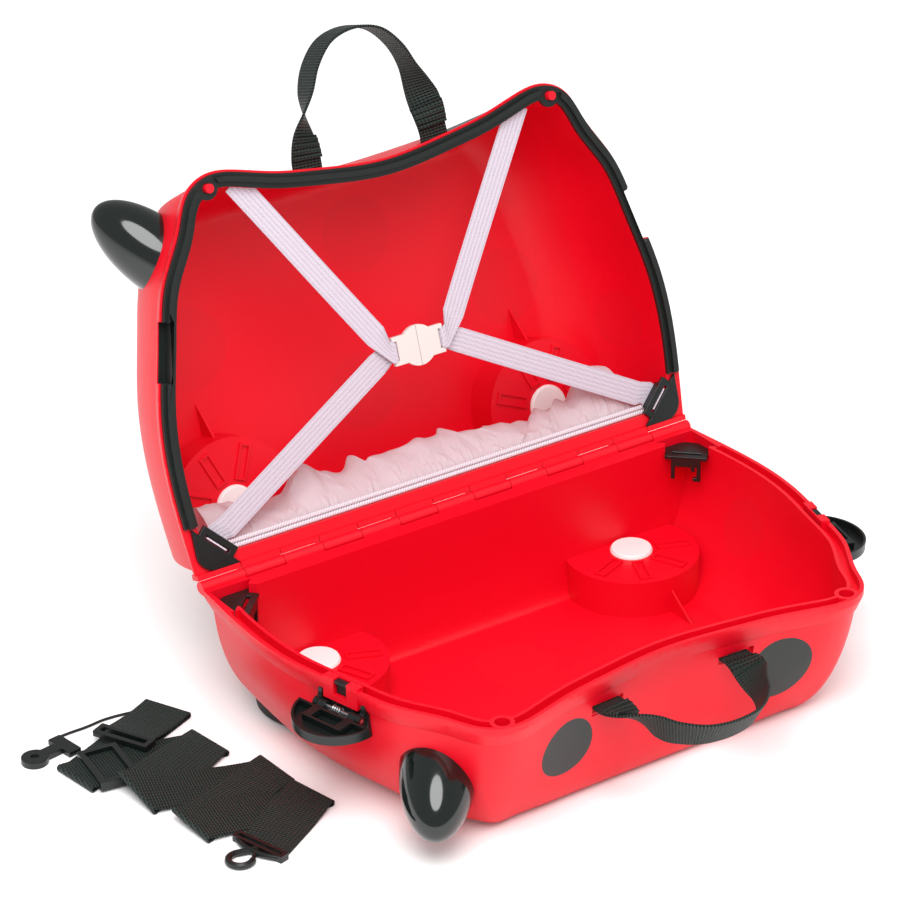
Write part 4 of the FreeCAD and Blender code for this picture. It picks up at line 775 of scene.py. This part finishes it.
class CASE_OT_pocket(bpy.types.Operator):
    """Gathered cloth pocket with its corded elastic hem"""
    bl_idname = "case.pocket"
    bl_label = "Pocket"

    def execute(self, context):
        bm = bmesh.new()
        bmesh.ops.create_grid(bm, x_segments=POCKET_FACES[0], y_segments=POCKET_FACES[1], size=1)
        folds = pocket_folds(POCKET_FOLDS, POCKET_SEED)
        gather = bm.verts.layers.float.new("gather")
        for vert in bm.verts:
            back = (vert.co.y + 1) / 2
            vert[gather] = math.exp(-back * 4)
            vert.co = pocket_point(vert.co.x * POCKET_HALF, back, folds)
        cloth = finished("lid_pocket_cloth", bm, "lid", ("lid_pocket",), "pocket_cloth", smooth=180)
        for number, (rise, depth) in enumerate(HEM_CORDS):
            line = (lid_point(-POCKET_HALF, rise, depth), lid_point(POCKET_HALF, rise, depth), LID_UP, LID_OUT)
            shape = rope("pocket_hem_%d" % number, line, HEM_STRANDS, HEM_LAY, HEM_STRAND)
            shape.materials.append(finishes["hem_elastic"])
            hem = bpy.data.objects.new("pocket_hem_%d" % number, shape)
            context.scene.collection.objects.link(hem)
            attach(hem, "lid")
            if number == 0:
                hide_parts("pocket_elastic")
        return {"FINISHED"}


class CASE_OT_tow(bpy.types.Operator):
    """Tow strap with its hardware, and the key on its cord"""
    bl_idname = "case.tow"
    bl_label = "Tow strap"

    def execute(self, context):
        ease = context.scene.case_looks.ease
        for node in ("tow_ring", "tow_slider", "tow_hook"):
            dressed(node, "tow_strap", "black_plastic", ease)
        dressed("tow_hook_gate", "hook_gate", "black_plastic", ease)
        key = [dressed(node, "tow_strap", "black_plastic", ease) for node in ("key_grip", "key_tab")]
        end = Vector((TOW_FOLDS[-1][0] * RIM_HALF, HINGE.y - TOW_FOLDS[-1][1] * RIM_HEIGHT, 0))
        across = Vector((-HOOK_AIM.y, HOOK_AIM.x, 0))
        bail = round_curve("tow_hook_bail", HOOK_WIRE)
        arms = bail.splines.new("POLY")
        arms.points.add(len(HOOK_ARMS) - 1)
        for point, (out, side) in zip(arms.points, HOOK_ARMS):
            spot = end + HOOK_AIM * out + across * side + Vector((0, 0, HOOK_RISE))
            point.co = (*spot, 1)
        bail.materials.append(finishes["black_plastic"])
        hook_bail = bpy.data.objects.new("tow_hook_bail", bail)
        context.scene.collection.objects.link(hook_bail)
        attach(hook_bail, "tow_strap")
        rows, run = tow_rows()
        strap = finished("tow_webbing_band", band(rows, 8), "tow_strap", ("tow_webbing",),
                         "black_webbing")
        shape = round_curve("key_cord_line", KEY_CORD_WIDTH / 2)
        shape.resolution_u = 16
        line = shape.splines.new("NURBS")
        line.points.add(len(KEY_CORD) - 1)
        for point, place in zip(line.points, KEY_CORD):
            point.co = (*place, 1)
        line.order_u = 3
        line.use_endpoint_u = True
        shape.materials.append(finishes["key_cord"])
        cord = bpy.data.objects.new("key_cord_line", shape)
        context.scene.collection.objects.link(cord)
        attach(cord, "tow_strap")
        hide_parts("key_cord")
        return {"FINISHED"}


class CASE_OT_stage(bpy.types.Operator):
    """White floor, soft studio light and the camera"""
    bl_idname = "case.stage"
    bl_label = "Stage"

    def execute(self, context):
        looks = context.scene.stage_looks
        bm = bmesh.new()
        bmesh.ops.create_grid(bm, x_segments=1, y_segments=1, size=FLOOR_HALF)
        mesh = bpy.data.meshes.new("floor")
        bm.to_mesh(mesh)
        bm.free()
        mesh.materials.append(surface("white_paper", "#F7F7F7", 0.9)[0])
        floor = bpy.data.objects.new("floor", mesh)
        context.scene.collection.objects.link(floor)
        world = bpy.data.worlds.new("studio")
        world.use_nodes = True
        tree = world.node_tree
        sky = tree.nodes["Background"]
        seen = put(tree, "LightPath", {})
        shine = put(tree, "MapRange", {"Value": seen.outputs["Is Glossy Ray"], "To Min": looks.sky,
                                       "To Max": looks.shine})
        level = put(tree, "Mix", {"Factor": seen.outputs["Is Camera Ray"], "A": shine.outputs[0], "B": 1.0})
        sky.inputs["Color"].default_value = (1, 1, 1, 1)
        tree.links.new(level.outputs[0], sky.inputs["Strength"])
        context.scene.world = world
        lamp = bpy.data.lights.new("soft_top", "AREA")
        lamp.shape = "DISK"
        lamp.size = LAMP_SIZE
        lamp.energy = looks.key
        light = bpy.data.objects.new("soft_top", lamp)
        light.location = LAMP_PLACE
        light.rotation_euler = (Vector(LAMP_AIM) - light.location).to_track_quat("-Z", "Y").to_euler()
        context.scene.collection.objects.link(light)
        yaw, pitch, roll = (math.radians(a) for a in CAMERA_TURNS)
        aim = Vector((math.sin(yaw) * math.cos(pitch), math.cos(yaw) * math.cos(pitch), -math.sin(pitch)))
        right = Vector((math.cos(yaw), -math.sin(yaw), 0))
        up = right.cross(aim)
        side = right * math.cos(roll) + up * math.sin(roll)
        top = up * math.cos(roll) - right * math.sin(roll)
        lens = bpy.data.cameras.new("camera")
        lens.sensor_width = SENSOR
        lens.lens = looks.lens
        camera = bpy.data.objects.new("camera", lens)
        camera.matrix_world = Matrix.Translation(CAMERA_PLACE) @ \
            Matrix((side, top, -aim)).transposed().to_4x4()
        context.scene.collection.objects.link(camera)
        context.scene.camera = camera
        context.scene.view_settings.view_transform = "Standard"
        return {"FINISHED"}


PIECES = (CASE_OT_shells, CASE_OT_seal, CASE_OT_horns, CASE_OT_wheels, CASE_OT_latches, CASE_OT_handles,
          CASE_OT_packing, CASE_OT_pocket, CASE_OT_tow, CASE_OT_stage)


class CASE_PT_pieces(bpy.types.Panel):
    """Buttons for the suitcase's pieces"""
    bl_idname = "CASE_PT_pieces"
    bl_label = "Suitcase"
    bl_space_type = "VIEW_3D"
    bl_region_type = "UI"
    bl_category = "Suitcase"

    def draw(self, context):
        for piece in PIECES:
            self.layout.operator(piece.bl_idname)


CLASSES = (CaseLooks, StageLooks) + PIECES + (CASE_PT_pieces,)


def register():
    for item in CLASSES:
        bpy.utils.register_class(item)
    bpy.types.Scene.case_looks = PointerProperty(type=CaseLooks)
    bpy.types.Scene.stage_looks = PointerProperty(type=StageLooks)


def unregister():
    del bpy.types.Scene.case_looks
    del bpy.types.Scene.stage_looks
    for item in reversed(CLASSES):
        bpy.utils.unregister_class(item)


def main():
    register()
    finishes.update(make_materials(bpy.context.scene.case_looks))
    for piece in PIECES:
        group, name = piece.bl_idname.split(".")
        getattr(getattr(bpy.ops, group), name)()


if __name__ == "__main__":
    main()
